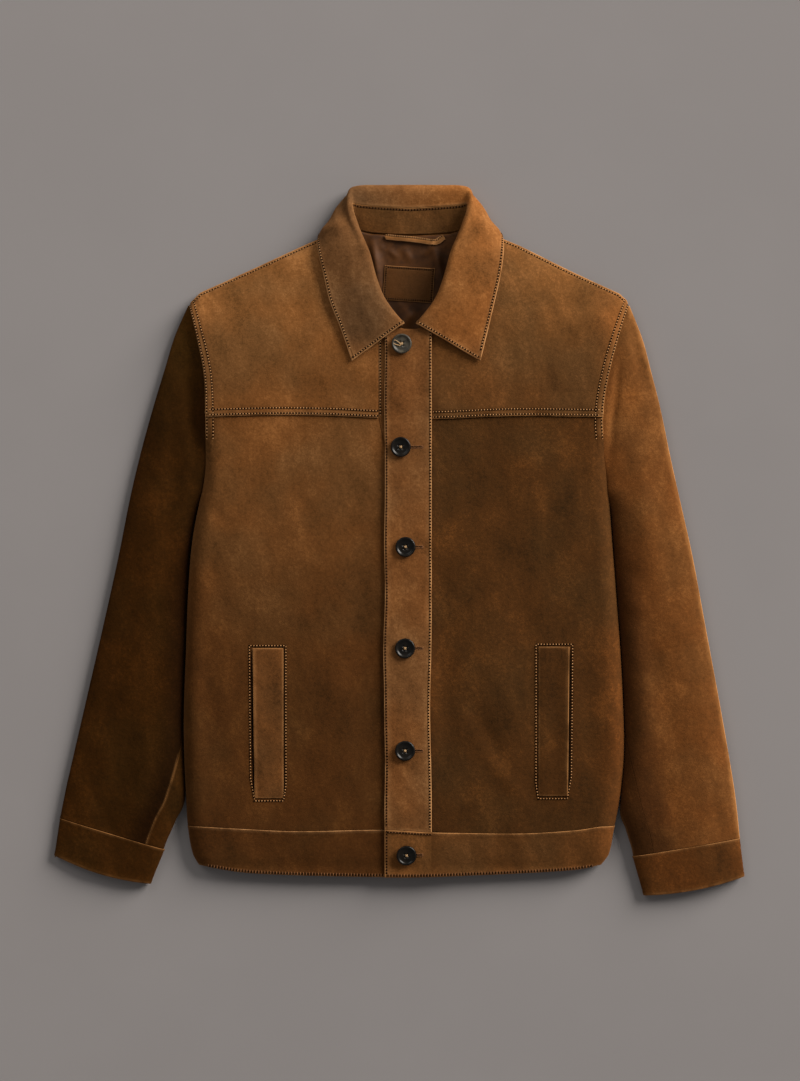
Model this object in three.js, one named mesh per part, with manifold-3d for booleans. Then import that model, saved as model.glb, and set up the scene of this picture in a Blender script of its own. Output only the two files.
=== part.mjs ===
// A button-front suede jacket laid on its back on a flat surface.
// Millimetres. +X runs to the wearer's left, +Y from hem to collar, +Z up from the surface.
// The origin is under the middle of the laid-out jacket. Every piece of leather is a thin wall
// with its own cut: the upper pieces rise over the hollow body, the lower ones lie flat.
import * as THREE from 'three';
import { mergeVertices } from 'three/addons/utils/BufferGeometryUtils.js';
import Module from 'manifold-3d';

const wasm = await Module();
wasm.setup();

// ---- Driving sizes ---------------------------------------------------------------------------
const CLOTH = 2.0; // one layer of suede with its backing
const DOUBLE = 2.6; // two layers sewn together: collar fall and placket
const SEAM = 0.3; // clearance between pieces that are sewn edge to edge or lie on each other
const HALF_SEAM = SEAM / 2;
const FOLD_HEIGHT = 6.5; // height of the side folds, where upper and lower cloth meet
const SIDE_ROUNDING = 40; // how far in from a side fold the front reaches its full loft
const SHOULDER_ROUNDING = 34; // the same, below the shoulder seam
const LOWER_ROUNDING = 9; // how far the lower cloth curls up at a fold
const SLEEVE_ROUNDING = 32; // how far in from its folds a sleeve reaches its full loft
const HEM_SEAM_Y = -310; // y of the hem seam at the side folds
const BACK_SEAM_Y = -309; // y of the hem seam across the back
const HEM_Y = { side: -351, back: -349 }; // y of the hem's edge at the side folds and at the back
const YOKE_Y = 133; // y of the yoke seam at the armholes
const ARMPIT = 22; // y of the armpit
const ARMHOLE_FULL = 150; // y above which the armhole seam stands at its full height
const ARMHOLE_SHARE = 0.86; // share of the loft that the armhole seam keeps
const SHOULDER_SLANT = 0.91; // cosine of the shoulder seams' slope
const NECK_RAISE = 3.3; // the back lifts this much to lie on the turned-down collar
const NECK_CENTRE = 11.8; // x of the middle of the neck
const PLACKET = { left: -15.6, right: 35.5 }; // the upper button band
const UNDER_PLACKET = { left: -22, right: 27.7 }; // the lower button band
const HEM_LAP = { from: 38, to: 80 }; // x where the lapping end of the hem band comes down
const WELT_GAPE = 1.6; // how far a pocket's mouth stands open
const LINING_THICK = 1;
const LABEL = { x: 10.5, y: 275.5, wide: 57, high: 38, thick: 1, askew: -3.7 };
const LOOP = { wide: 6, thick: 1.6, sag: 1.2 };
const BUTTON = { radius: 10.8, thick: 3.4, rim: 2.2, hole: 1.1, spread: 2.3, shank: 0.9 };

const SUEDE = new THREE.MeshStandardMaterial({ color: 0x7a5029, roughness: 0.95, metalness: 0 });
const LINING = new THREE.MeshStandardMaterial({ color: 0x4a2f1c, roughness: 0.6, metalness: 0 });
const HORN = new THREE.MeshStandardMaterial({ color: 0x1d1815, roughness: 0.35, metalness: 0 });

// ---- Tables: a row for each section, seam point or fold --------------------------------------
// The body's side folds and armhole seams, from hem to shoulder point, and the loft over the back.
const BODY = [
  { y: -352, left: -214.5, right: 216.5, loft: 14 },
  { y: -340, left: -222, right: 224.5, loft: 16.5 },
  { y: -312, left: -228, right: 230.5, loft: 20 },
  { y: -275, left: -231.5, right: 237, loft: 22.5 },
  { y: -183, left: -231.5, right: 239.5, loft: 25 },
  { y: -86, left: -227.5, right: 236, loft: 26 },
  { y: 0, left: -222.5, right: 228.5, loft: 27 },
  { y: 66, left: -210.5, right: 223.5, loft: 27 },
  { y: 90, left: -208.3, right: 220.3, loft: 27 },
  { y: 134, left: -207.8, right: 219, loft: 27 },
  { y: 180, left: -209.8, right: 226, loft: 27 },
  { y: 224, left: -218.8, right: 237.6, loft: 26 },
  { y: 252, left: -226, right: 247, loft: 24 },
];

// The hem's lower edge, and the hem band's upper seam, across the body.
const HEM = [
  { x: -214, hem: -351, seam: -308.5 },
  { x: -168, hem: -358.5, seam: -311 },
  { x: -113, hem: -361.8, seam: -313.5 },
  { x: -17, hem: -364.6, seam: -312 },
  { x: 34, hem: -364.2, seam: -314.5 },
  { x: 129, hem: -360, seam: -316 },
  { x: 190, hem: -355, seam: -312.5 },
  { x: 216, hem: -350, seam: -308.5 },
];

// The yoke's lower edge across the chest.
const YOKE = [
  { x: -208, y: 133.3 },
  { x: -129, y: 135 },
  { x: -25, y: 130.3 },
  { x: 36, y: 129 },
  { x: 122, y: 132.2 },
  { x: 219, y: 131.2 },
];

// The shoulder seams and, between them, the back neck.
const SHOULDER = [
  { x: -226.2, y: 251.5 },
  { x: -217.5, y: 265.5 },
  { x: -161, y: 292 },
  { x: -103, y: 317.7 },
  { x: -57, y: 337 },
  { x: -30, y: 329.5 },
  { x: 11.8, y: 327.5 },
  { x: 53.6, y: 329.5 },
  { x: 80.6, y: 337 },
  { x: 130, y: 317.7 },
  { x: 183, y: 292 },
  { x: 236, y: 265.5 },
  { x: 247.2, y: 251.5 },
];

// The front neckline, by distance from the middle of the neck.
const NECKLINE = [
  { off: 0, y: 225.5 },
  { off: 9, y: 226.6 },
  { off: 21.5, y: 233.5 },
  { off: 35.4, y: 247.5 },
  { off: 47, y: 267 },
  { off: 57, y: 291 },
  { off: 64.5, y: 314 },
  { off: 68.8, y: 337 },
];

// The collar, from the front end to the middle of the back, by distance from the middle of the
// neck: the neck seam; the roll's centre, radius, tilt (0 leans out, 90 stands, 180 lies inwards)
// and the way outwards (0 sideways, 90 to the back); two points of the fall and its edge; the width
// of the stand; and how far the two halves together are pushed to the wearer's left.
const COLLAR = [
  {
    seam: [9, 227, 29.6], roll: [8.5, 229.8, 31.4], radius: 3.2, tilt: 165, turn: -30,
    over: [28.6, 217.9, 33.4], under: [48.7, 205.9, 31.7], edge: [68.8, 194, 30.3], stand: 2, lean: 6.5,
  },
  {
    seam: [22, 234.6, 28], roll: [20.1, 242.2, 31], radius: 4.4, tilt: 168, turn: -17,
    over: [39.8, 236.5, 35], under: [59.4, 230.7, 32.6], edge: [79, 225, 30.3], stand: 8, lean: 4.8,
  },
  {
    seam: [36, 248.9, 27.8], roll: [32.3, 258.6, 31], radius: 5.4, tilt: 168, turn: -4,
    over: [51.1, 257.4, 36], under: [69.8, 256.2, 33], edge: [88.5, 255, 30.3], stand: 10, lean: 2.4,
  },
  {
    seam: [48, 269, 27.8], roll: [40.7, 279, 31], radius: 5.8, tilt: 168, turn: 2,
    over: [58.9, 280.6, 36.2], under: [76.9, 281.8, 33.2], edge: [95, 283, 30.3], stand: 12, lean: 2.2,
  },
  {
    seam: [56.5, 293, 26.8], roll: [48.8, 307, 30.3], radius: 6, tilt: 163, turn: 0,
    over: [65.8, 306.6, 35.5], under: [82.7, 306.3, 32.6], edge: [99.5, 306, 27.6], stand: 14, lean: 1,
  },
  {
    seam: [63.3, 315, 24.4], roll: [55, 324, 27.5], radius: 6, tilt: 148, turn: 0,
    over: [73, 323, 32], under: [91, 323.5, 26.5], edge: [101, 324, 18], stand: 13, lean: 0.5,
  },
  {
    seam: [65.6, 328.5, 17], roll: [59.6, 339.3, 24], radius: 6.2, tilt: 122, turn: 8,
    over: [80, 339, 28], under: [99, 339, 14], edge: [99, 336, 2], stand: 15, lean: 0.5,
  },
  {
    seam: [67.2, 338, 8.5], roll: [61.5, 353.5, 20], radius: 6.4, tilt: 92, turn: 20,
    over: [87, 353, 13.5], under: [89, 346, 1.5], edge: [80, 336.5, 0], stand: 22, lean: 0,
  },
  {
    seam: [60, 336, 6.2], roll: [61.5, 368, 13.5], radius: 6.5, tilt: 45, turn: 50,
    over: [80, 366.5, 9], under: [82, 357, 0.4], edge: [69, 330, 0], stand: 30, lean: 0,
  },
  {
    seam: [47, 332.1, 5.8], roll: [55.5, 375.3, 8], radius: 6.5, tilt: 10, turn: 76,
    over: [67, 367, 1.5], under: [65, 345, 0], edge: [60, 323, 0], stand: 32, lean: 0,
  },
  {
    seam: [24, 330, 5.8], roll: [30, 375.7, 6.6], radius: 6.5, tilt: 0, turn: 88,
    over: [31, 356, 0], under: [31, 337, 0], edge: [31, 318, 0], stand: 32, lean: 0,
  },
  {
    seam: [0, 329.2, 5.8], roll: [0, 375.8, 6.5], radius: 6.5, tilt: 0, turn: 90,
    over: [0, 356, 0], under: [0, 337, 0], edge: [0, 318, 0], stand: 32.5, lean: 0,
  },
];

// The hanger loop's route along the back neck.
const LOOP_ROUTE = [
  { x: -17, y: 325.4 },
  { x: -11, y: 321.6 },
  { x: -2, y: 320.4 },
  { x: 18, y: 319 },
  { x: 36, y: 318.4 },
  { x: 44, y: 320.6 },
  { x: 48.5, y: 325 },
];

// The buttons' middles.
const BUTTONS = [
  { x: 2.8, y: 209.5 },
  { x: 1.8, y: 99 },
  { x: 7, y: -8 },
  { x: 6.5, y: -116.5 },
  { x: 6.5, y: -226.3 },
  { x: 8, y: -339 },
];

// The pocket welts: outer and inner edge, how far the outer one leans, lower and upper end.
const WELT_RIGHT = { outside: -157, inside: -124, slant: -2, foot: -280, head: -116.5 };
const WELT_LEFT = { outside: 182.7, inside: 149.5, slant: 1.5, foot: -279, head: -115 };

// Sleeve sections from the shoulder point to the cuff seam: the outer fold, how high on the body
// the inner end is and how far it keeps clear of it, the loft, and the share of the width that the
// top sleeve covers.
const SLEEVE_RIGHT = [
  { outer: [-232.5, 251.5], inner: 246, clear: 0.3, loft: 11, cover: 1 },
  { outer: [-242.5, 219], inner: 214.5, clear: 0.9, loft: 18, cover: 1 },
  { outer: [-252, 186], inner: 181, clear: 0.9, loft: 22, cover: 1 },
  { outer: [-264.5, 145], inner: 134, clear: 0.9, loft: 24, cover: 1 },
  { outer: [-278.5, 94], inner: 82, clear: 0.9, loft: 25, cover: 1 },
  { outer: [-290.5, 43], inner: 32, clear: 0.6, loft: 25, cover: 0.985 },
  { outer: [-303, -20], inner: -36, clear: 1.6, loft: 25, cover: 0.98 },
  { outer: [-320, -97], inner: -117, clear: 2, loft: 25, cover: 0.98 },
  { outer: [-339, -180], inner: -204, clear: 2.2, loft: 25, cover: 0.97 },
  { outer: [-357, -258], inner: -284, clear: 3.8, loft: 24, cover: 0.925 },
  { outer: [-361.6, -280], inner: -309, clear: 15, loft: 22, cover: 0.88 },
  { outer: [-365.7, -300.5], inner: -334, clear: 29, loft: 19, cover: 0.846 },
];
const SLEEVE_LEFT = [
  { outer: [253, 251.5], inner: 246, clear: 0.3, loft: 11, cover: 1 },
  { outer: [263, 216.5], inner: 214.5, clear: 0.9, loft: 18, cover: 1 },
  { outer: [271.5, 183], inner: 181, clear: 0.9, loft: 22, cover: 1 },
  { outer: [282.3, 140], inner: 134, clear: 0.9, loft: 24, cover: 1 },
  { outer: [293, 88], inner: 82, clear: 0.9, loft: 25, cover: 1 },
  { outer: [304.6, 36], inner: 32, clear: 0.6, loft: 25, cover: 0.985 },
  { outer: [317, -20], inner: -36, clear: 1.4, loft: 25, cover: 0.97 },
  { outer: [331.2, -97], inner: -117, clear: 2, loft: 25, cover: 0.955 },
  { outer: [347, -180], inner: -204, clear: 2.2, loft: 25, cover: 0.935 },
  { outer: [361.2, -258], inner: -284, clear: 3.6, loft: 24, cover: 0.89 },
  { outer: [366.3, -292], inner: -314, clear: 15, loft: 22, cover: 0.862 },
  { outer: [370, -322], inner: -341.3, clear: 28, loft: 19, cover: 0.836 },
];
// Each cuff's free end: its outer and inner corners and how far the edge bows.
const CUFF_RIGHT = { outer: [-371.8, -341], inner: [-268, -371.4], loft: 15, bow: 5 };
const CUFF_LEFT = { outer: [372, -358], inner: [264, -382.4], loft: 15, bow: 4 };

// The largest folds: troughs and ridges from one end to the other, with width and height.
const BODY_FOLDS = [
  { from: [70, 20], to: [128, -250], width: 26, height: 1.8 },
  { from: [44, -20], to: [52, -280], width: 15, height: -2 },
  { from: [-40, 80], to: [-44, -260], width: 17, height: -1.8 },
  { from: [-190, 60], to: [-150, -60], width: 20, height: 1.6 },
  { from: [205, 60], to: [170, -60], width: 20, height: 1.6 },
  { from: [-215, -60], to: [-196, -290], width: 13, height: -1.8 },
  { from: [196, -90], to: [212, -290], width: 13, height: -1.6 },
  { from: [-100, 300], to: [-150, 190], width: 22, height: 1.5 },
  { from: [140, 290], to: [150, 180], width: 24, height: 1.5 },
];
const SLEEVE_RIGHT_FOLDS = [
  { from: [-225, 226], to: [-212.5, 76], width: 6.5, height: -8 },
  { from: [-236, 150], to: [-252, -90], width: 12, height: -2.4 },
  { from: [-262, -60], to: [-300, -200], width: 15, height: 2 },
  { from: [-283, -205], to: [-316, -296], width: 13, height: -2.6 },
  { from: [-262, -220], to: [-290, -310], width: 11, height: 1.8 },
];
const SLEEVE_LEFT_FOLDS = [
  { from: [246, 244], to: [265, 140], width: 6, height: -5 },
  { from: [238, 205], to: [224, 70], width: 6.5, height: -7 },
  { from: [254, 120], to: [276, -80], width: 13, height: 2.2 },
  { from: [262, -60], to: [296, -240], width: 14, height: -2.4 },
  { from: [322, -120], to: [340, -290], width: 12, height: 1.8 },
];

// ---- Small mathematics -----------------------------------------------------------------------
const lerp = THREE.MathUtils.lerp;
const clamp01 = (t) => THREE.MathUtils.clamp(t, 0, 1);
const smooth = (a, b, t) => THREE.MathUtils.smoothstep(t, a, b);
/** A quarter circle's rise: 0 with an upright start, 1 from t = 1 on. */
const round = (t) => Math.sqrt(1 - (1 - clamp01(t)) ** 2);
/** Even steps that crowd together towards 0. */
const crowd = (t, by = 0.25) => (Math.hypot(t, by) - by) / (Math.hypot(1, by) - by);
/** Even steps that crowd together towards both ends. */
const crowdBoth = (t) => (1 - Math.cos(Math.PI * t)) / 2;

/** A smooth value of a table's column (or of one number in it) at a place along its key. */
function column(rows, key, name, at, part) {
  const k = (i) => (key === null ? i : rows[i][key]);
  const value = (i) => (part === undefined ? rows[i][name] : rows[i][name][part]);
  const last = rows.length - 1;
  let i = 0;
  while (i < last - 1 && at > k(i + 1)) i++;
  const slope = (j) => {
    const [a, b] = [Math.max(j - 1, 0), Math.min(j + 1, last)];
    return (value(b) - value(a)) / (k(b) - k(a));
  };
  const span = k(i + 1) - k(i);
  const t = clamp01((at - k(i)) / span);
  const [h00, h10] = [(1 + 2 * t) * (1 - t) ** 2, t * (1 - t) ** 2];
  const [h01, h11] = [t * t * (3 - 2 * t), t * t * (t - 1)];
  return h00 * value(i) + h10 * span * slope(i) + h01 * value(i + 1) + h11 * span * slope(i + 1);
}

/** A straight-sided value of a table's column, for outlines with corners. */
function straight(rows, key, name, at) {
  let i = 0;
  while (i < rows.length - 2 && at > rows[i + 1][key]) i++;
  const t = clamp01((at - rows[i][key]) / (rows[i + 1][key] - rows[i][key]));
  return lerp(rows[i][name], rows[i + 1][name], t);
}

/** The height that a table of folds adds at a point. */
function foldHeight(folds, x, y) {
  let sum = 0;
  for (const { from, to, width, height } of folds) {
    const [dx, dy] = [to[0] - from[0], to[1] - from[1]];
    const t = ((x - from[0]) * dx + (y - from[1]) * dy) / (dx * dx + dy * dy);
    if (t <= 0 || t >= 1) continue;
    const off = Math.hypot(x - from[0] - t * dx, y - from[1] - t * dy);
    sum += height * Math.sin(Math.PI * t) * Math.exp(-((off / width) ** 2));
  }
  return sum;
}

// ---- The body's surfaces ---------------------------------------------------------------------
const sideLeft = (y) => column(BODY, 'y', 'left', y);
const sideRight = (y) => column(BODY, 'y', 'right', y);
const shoulderY = (x) => straight(SHOULDER, 'x', 'y', x);
const neckY = (x) => column(NECKLINE, 'off', 'y', Math.abs(x - NECK_CENTRE));
const armhole = (y) => smooth(ARMPIT, ARMHOLE_FULL, y);
/** How far a point is below the shoulder seam, measured square to it. */
const belowShoulder = (x, y) => Math.max(0, (shoulderY(x) - y) * SHOULDER_SLANT);

/** Height of the fronts' outer face. */
function bodyTop(x, y) {
  const inFromSide = Math.max(0, Math.min(x - sideLeft(y), sideRight(y) - x));
  const kept = armhole(y) * ARMHOLE_SHARE;
  const side = kept + (1 - kept) * round(inFromSide / SIDE_ROUNDING);
  const shoulder = round(belowShoulder(x, y) / SHOULDER_ROUNDING);
  const rise = (column(BODY, 'y', 'loft', y) - FOLD_HEIGHT) * side * shoulder;
  return FOLD_HEIGHT + SEAM / 2 + rise + foldHeight(BODY_FOLDS, x, y) * side * shoulder;
}

/** Height of the back's outer face, which lies on the surface and curls up at its folds. */
function backBottom(x, y) {
  const inFromSide = Math.max(0, Math.min(x - sideLeft(y), sideRight(y) - x));
  const curlSide = (1 - armhole(y)) * (1 - round(inFromSide / LOWER_ROUNDING));
  const off = Math.abs(x - NECK_CENTRE);
  const curlShoulder = smooth(66, 84, off) * (1 - round(belowShoulder(x, y) / LOWER_ROUNDING));
  const raised = NECK_RAISE * smooth(255, 311, y) * (1 - smooth(78, 150, off));
  return lerp(raised, FOLD_HEIGHT - SEAM / 2, Math.max(curlSide, curlShoulder));
}

// ---- Making solids ---------------------------------------------------------------------------
/**
 * A closed wall: `outer(u, v)` gives its outer face for u and v from 0 to 1, and the inner face
 * lies `thick` behind it. `flip` turns the outer face round; `ring` joins u = 1 to u = 0.
 */
function wall(outer, { nu, nv, thick = CLOTH, flip = false, ring = false }) {
  const step = 1e-3;
  const columns = ring ? nu : nu + 1;
  const faces = [[], []];
  for (let j = 0; j <= nv; j++) {
    for (let i = 0; i < columns; i++) {
      const [u, v] = [i / nu, j / nv];
      const at = new THREE.Vector3(...outer(u, v));
      const wrap = (t) => (ring ? (t + 1) % 1 : clamp01(t));
      const du = new THREE.Vector3(...outer(wrap(u + step), v))
        .sub(new THREE.Vector3(...outer(wrap(u - step), v)));
      const dv = new THREE.Vector3(...outer(u, clamp01(v + step)))
        .sub(new THREE.Vector3(...outer(u, clamp01(v - step))));
      const normal = du.cross(dv).normalize().multiplyScalar(flip ? thick : -thick);
      faces[0].push(at.x, at.y, at.z);
      faces[1].push(at.x + normal.x, at.y + normal.y, at.z + normal.z);
    }
  }
  const count = columns * (nv + 1);
  const index = [];
  const quad = (a, b, c, d) => (flip ? index.push(a, c, b, a, d, c) : index.push(a, b, c, a, c, d));
  const at = (side, i, j) => side * count + j * columns + (i % columns);
  for (let j = 0; j < nv; j++) {
    for (let i = 0; i < nu; i++) {
      quad(at(0, i, j), at(0, i + 1, j), at(0, i + 1, j + 1), at(0, i, j + 1));
      quad(at(1, i, j), at(1, i, j + 1), at(1, i + 1, j + 1), at(1, i + 1, j));
    }
    if (!ring) {
      quad(at(0, 0, j), at(0, 0, j + 1), at(1, 0, j + 1), at(1, 0, j));
      quad(at(0, nu, j), at(1, nu, j), at(1, nu, j + 1), at(0, nu, j + 1));
    }
  }
  for (let i = 0; i < nu; i++) {
    quad(at(0, i, 0), at(1, i, 0), at(1, i + 1, 0), at(0, i + 1, 0));
    quad(at(0, i, nv), at(0, i + 1, nv), at(1, i + 1, nv), at(1, i, nv));
  }
  const geometry = new THREE.BufferGeometry();
  geometry.setAttribute('position', new THREE.Float32BufferAttribute([...faces[0], ...faces[1]], 3));
  geometry.setIndex(index);
  return geometry;
}

const jacket = new THREE.Group();
/** Adds one named piece to the jacket. */
function piece(name, geometry, material = SUEDE) {
  const mesh = new THREE.Mesh(geometry, material);
  mesh.name = name;
  jacket.add(mesh);
  return mesh;
}

/** A patch of the plane between four edges that meet at its corners, each from 0 to 1. */
function patch({ bottom, top, left, right }) {
  return (u, v) => [0, 1].map((k) => (
    (1 - v) * bottom(u)[k] + v * top(u)[k] + (1 - u) * left(v)[k] + u * right(v)[k]
    - (1 - u) * ((1 - v) * bottom(0)[k] + v * top(0)[k])
    - u * ((1 - v) * bottom(1)[k] + v * top(1)[k])
  ));
}

// ---- Fronts, yokes and back ------------------------------------------------------------------
/** The lower front from the side fold to its band, cut from the hem seam to the yoke. */
function front(side) {
  const centre = side < 0 ? UNDER_PLACKET.left - SEAM : UNDER_PLACKET.right + SEAM;
  const edge = side < 0 ? sideLeft : sideRight;
  const low = (x) => column(HEM, 'x', 'seam', x) + HALF_SEAM;
  const high = (x) => column(YOKE, 'x', 'y', x) - HALF_SEAM;
  const [y0, y1] = [low(edge(HEM_SEAM_Y)), high(edge(YOKE_Y))];
  const shape = patch({
    bottom: (u) => [lerp(edge(y0), centre, u), low(lerp(edge(y0), centre, u))],
    top: (u) => [lerp(edge(y1), centre, u), high(lerp(edge(y1), centre, u))],
    left: (v) => [edge(lerp(y0, y1, v)), lerp(y0, y1, v)],
    right: (v) => [centre, lerp(low(centre), high(centre), v)],
  });
  const outer = (u, v) => {
    const [x, y] = shape(crowd(u), v);
    return [x, y, bodyTop(x, y)];
  };
  return wall(outer, { nu: 11, nv: 18, flip: side > 0 });
}

/** The front yoke, from its lower edge to the shoulder seam, round the neck. */
function yoke(side) {
  const centre = side < 0 ? UNDER_PLACKET.left - SEAM : UNDER_PLACKET.right + SEAM;
  const edge = side < 0 ? sideLeft : sideRight;
  const tip = side < 0 ? SHOULDER[0] : SHOULDER[SHOULDER.length - 1];
  const low = (x) => column(YOKE, 'x', 'y', x) + HALF_SEAM;
  const neckPoint = NECK_CENTRE + side * NECKLINE[NECKLINE.length - 1].off;
  const foot = low(centre);
  const corner = neckY(centre);
  const inner = (v) => {
    if (v < 0.5) return [centre, lerp(foot, corner, v / 0.5)];
    const x = lerp(centre, neckPoint, Math.sin(((v - 0.5) / 0.5) * Math.PI / 2));
    return [x, neckY(x)];
  };
  const y0 = low(edge(YOKE_Y));
  const end = inner(1);
  const shape = patch({
    bottom: (u) => [lerp(edge(y0), centre, u), low(lerp(edge(y0), centre, u))],
    top: (u) => {
      const x = lerp(tip.x, end[0], u);
      return [x, lerp(shoulderY(x), end[1], smooth(0.9, 1, u))];
    },
    left: (v) => [edge(lerp(y0, tip.y, v)), lerp(y0, tip.y, v)],
    right: inner,
  });
  const outer = (u, v) => {
    const [x, y] = shape(crowd(u), 1 - crowd(1 - v));
    return [x, y, bodyTop(x, y)];
  };
  return wall(outer, { nu: 11, nv: 12, flip: side > 0 });
}

/** The back, one piece from the hem seam to the shoulders. */
function back() {
  const foot = BACK_SEAM_Y;
  const [leftTip, rightTip] = [SHOULDER[0], SHOULDER[SHOULDER.length - 1]];
  const shape = patch({
    bottom: (u) => [lerp(sideLeft(foot), sideRight(foot), u), foot],
    top: (u) => [lerp(leftTip.x, rightTip.x, u), shoulderY(lerp(leftTip.x, rightTip.x, u))],
    left: (v) => [sideLeft(lerp(foot, leftTip.y, v)), lerp(foot, leftTip.y, v)],
    right: (v) => [sideRight(lerp(foot, rightTip.y, v)), lerp(foot, rightTip.y, v)],
  });
  const outer = (u, v) => {
    const [x, y] = shape(lerp(u, crowdBoth(u), 0.6), 1 - crowd(1 - v));
    return [x, y, backBottom(x, y)];
  };
  return wall(outer, { nu: 16, nv: 15, flip: true });
}

piece('front_right', front(-1));
piece('front_left', front(1));
piece('yoke_right', yoke(-1));
piece('yoke_left', yoke(1));
piece('back', back());

// ---- Button bands ----------------------------------------------------------------------------
/** A band down the front between two straight edges, `lift` above the fronts' outer face. */
function band({ left, right }, lift, thick) {
  const outer = (u, v) => {
    const x = lerp(left, right, u);
    const foot = column(HEM, 'x', 'seam', x) + HALF_SEAM;
    const y = lerp(foot, neckY(x) - SEAM, v);
    return [x, y, bodyTop(x, y) + lift];
  };
  return wall(outer, { nu: 4, nv: 18, thick });
}
piece('placket', band(PLACKET, DOUBLE + SEAM, DOUBLE));
piece('under_placket', band(UNDER_PLACKET, 0, CLOTH));

// ---- Hem band --------------------------------------------------------------------------------
/** One end of the hem band over the fronts; the wearer's left end laps over the right one. */
function hemFront(side) {
  const centre = side < 0 ? UNDER_PLACKET.right : PLACKET.left;
  const edge = side < 0 ? sideLeft : sideRight;
  const high = (x) => column(HEM, 'x', 'seam', x) - HALF_SEAM;
  const low = (x) => column(HEM, 'x', 'hem', x);
  const [y0, y1] = [HEM_Y.side, high(edge(HEM_SEAM_Y))];
  const shape = patch({
    bottom: (u) => [lerp(edge(y0), centre, u), low(lerp(edge(y0), centre, u))],
    top: (u) => [lerp(edge(y1), centre, u), high(lerp(edge(y1), centre, u))],
    left: (v) => [edge(lerp(low(edge(y0)), y1, v)), lerp(low(edge(y0)), y1, v)],
    right: (v) => [centre, lerp(low(centre), high(centre), v)],
  });
  const outer = (u, v) => {
    const [x, y] = shape(crowd(u), v);
    const lap = side < 0 ? 0 : (DOUBLE + SEAM) * (1 - smooth(HEM_LAP.from, HEM_LAP.to, x));
    return [x, y, bodyTop(x, y) + lap];
  };
  return wall(outer, { nu: 16, nv: 4, flip: side > 0 });
}

/** The hem band across the back, a little shorter than the front. */
function hemBack() {
  const [head, foot] = [BACK_SEAM_Y - SEAM, HEM_Y.back];
  const outer = (u, v) => {
    const y = lerp(foot, head, v);
    const x = lerp(sideLeft(y), sideRight(y), crowdBoth(u));
    return [x, y, backBottom(x, y)];
  };
  return wall(outer, { nu: 20, nv: 3, flip: true });
}
piece('hem_band_right', hemFront(-1));
piece('hem_band_left', hemFront(1));
piece('hem_band_back', hemBack());

// ---- Sleeves ---------------------------------------------------------------------------------
/** A sleeve's section at v from 0 (shoulder) to 1 (cuff seam). */
function section(rows, side, v) {
  const at = v * (rows.length - 1);
  const get = (name, part) => column(rows, null, name, at, part);
  const y = get('inner');
  const edge = side < 0 ? sideLeft(y) : sideRight(y);
  return {
    outer: [get('outer', 0), get('outer', 1)],
    inner: [edge + side * get('clear'), y],
    loft: get('loft'),
    cover: clamp01(get('cover')),
  };
}

/** A point on the section's upper face, s from 0 at the outer fold to 1 at the inner one. */
function sleeveTop({ outer, inner, loft }, s, folds) {
  const [x, y] = [lerp(outer[0], inner[0], s), lerp(outer[1], inner[1], s)];
  const width = Math.hypot(inner[0] - outer[0], inner[1] - outer[1]);
  const rise = loft - FOLD_HEIGHT;
  const rounding = Math.min(SLEEVE_ROUNDING, width / 2);
  const open = armhole(inner[1]);
  const seamHeight = open > 0 ? bodyTop(...inner) - FOLD_HEIGHT : 0;
  const kept = clamp01(seamHeight / rise) * Math.min(1, open * 8);
  const fromOuter = round((s * width) / rounding);
  const fromInner = kept + (1 - kept) * round(((1 - s) * width) / rounding);
  const lift = FOLD_HEIGHT + SEAM / 2 + rise * fromOuter * fromInner;
  return [x, y, lift + foldHeight(folds, x, y) * fromOuter * fromInner];
}

/** A point on the section's lower face. */
function sleeveBottom({ outer, inner }, s) {
  const [x, y] = [lerp(outer[0], inner[0], s), lerp(outer[1], inner[1], s)];
  const width = Math.hypot(inner[0] - outer[0], inner[1] - outer[1]);
  const curlOuter = 1 - round((s * width) / LOWER_ROUNDING);
  const curlInner = (1 - round(((1 - s) * width) / LOWER_ROUNDING)) * (1 - armhole(inner[1]));
  return [x, y, (FOLD_HEIGHT - SEAM / 2) * Math.max(curlOuter, curlInner)];
}

/** The point a share of the way along a path of points, by length. */
function along(path, share) {
  const lengths = path.slice(1).map((p, i) => Math.hypot(...p.map((c, k) => c - path[i][k])));
  let left = share * lengths.reduce((a, b) => a + b, 0);
  let i = 0;
  while (i < lengths.length - 1 && left > lengths[i]) left -= lengths[i++];
  const t = clamp01(left / lengths[i]);
  return path[i].map((c, k) => lerp(c, path[i + 1][k], t));
}

/** The upper piece of a sleeve, from the outer fold to the forearm seam. */
function topSleeve(rows, folds, side) {
  const outer = (u, v) => {
    const part = section(rows, side, v);
    const width = Math.hypot(part.inner[0] - part.outer[0], part.inner[1] - part.outer[1]);
    return sleeveTop(part, crowdBoth(u) * (part.cover - SEAM / width), folds);
  };
  return wall(outer, { nu: 10, nv: 20, flip: side < 0 });
}

/** The under piece of a sleeve: over the inner fold, across the underside, to the outer fold. */
function underSleeve(rows, folds, side) {
  const steps = 90;
  const outer = (u, v) => {
    const part = section(rows, side, v);
    const width = Math.hypot(part.inner[0] - part.outer[0], part.inner[1] - part.outer[1]);
    const closed = 1 - smooth(ARMPIT, ARMPIT + 34, part.inner[1]);
    const start = lerp(0.99 - 1.5 / width, part.cover + SEAM / width, closed);
    const path = [];
    for (let i = 0; i <= steps / 3 && closed > 0; i++) {
      path.push(sleeveTop(part, lerp(start, 1, i / (steps / 3)), folds));
    }
    for (let i = 0; i <= steps; i++) path.push(sleeveBottom(part, 1 - crowdBoth(i / steps)));
    const skip = closed > 0 ? (1 - closed) * 0.12 : 0;
    return along(path, lerp(skip, 1, crowdBoth(u)));
  };
  return wall(outer, { nu: 10, nv: 20, flip: side < 0 });
}

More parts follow.
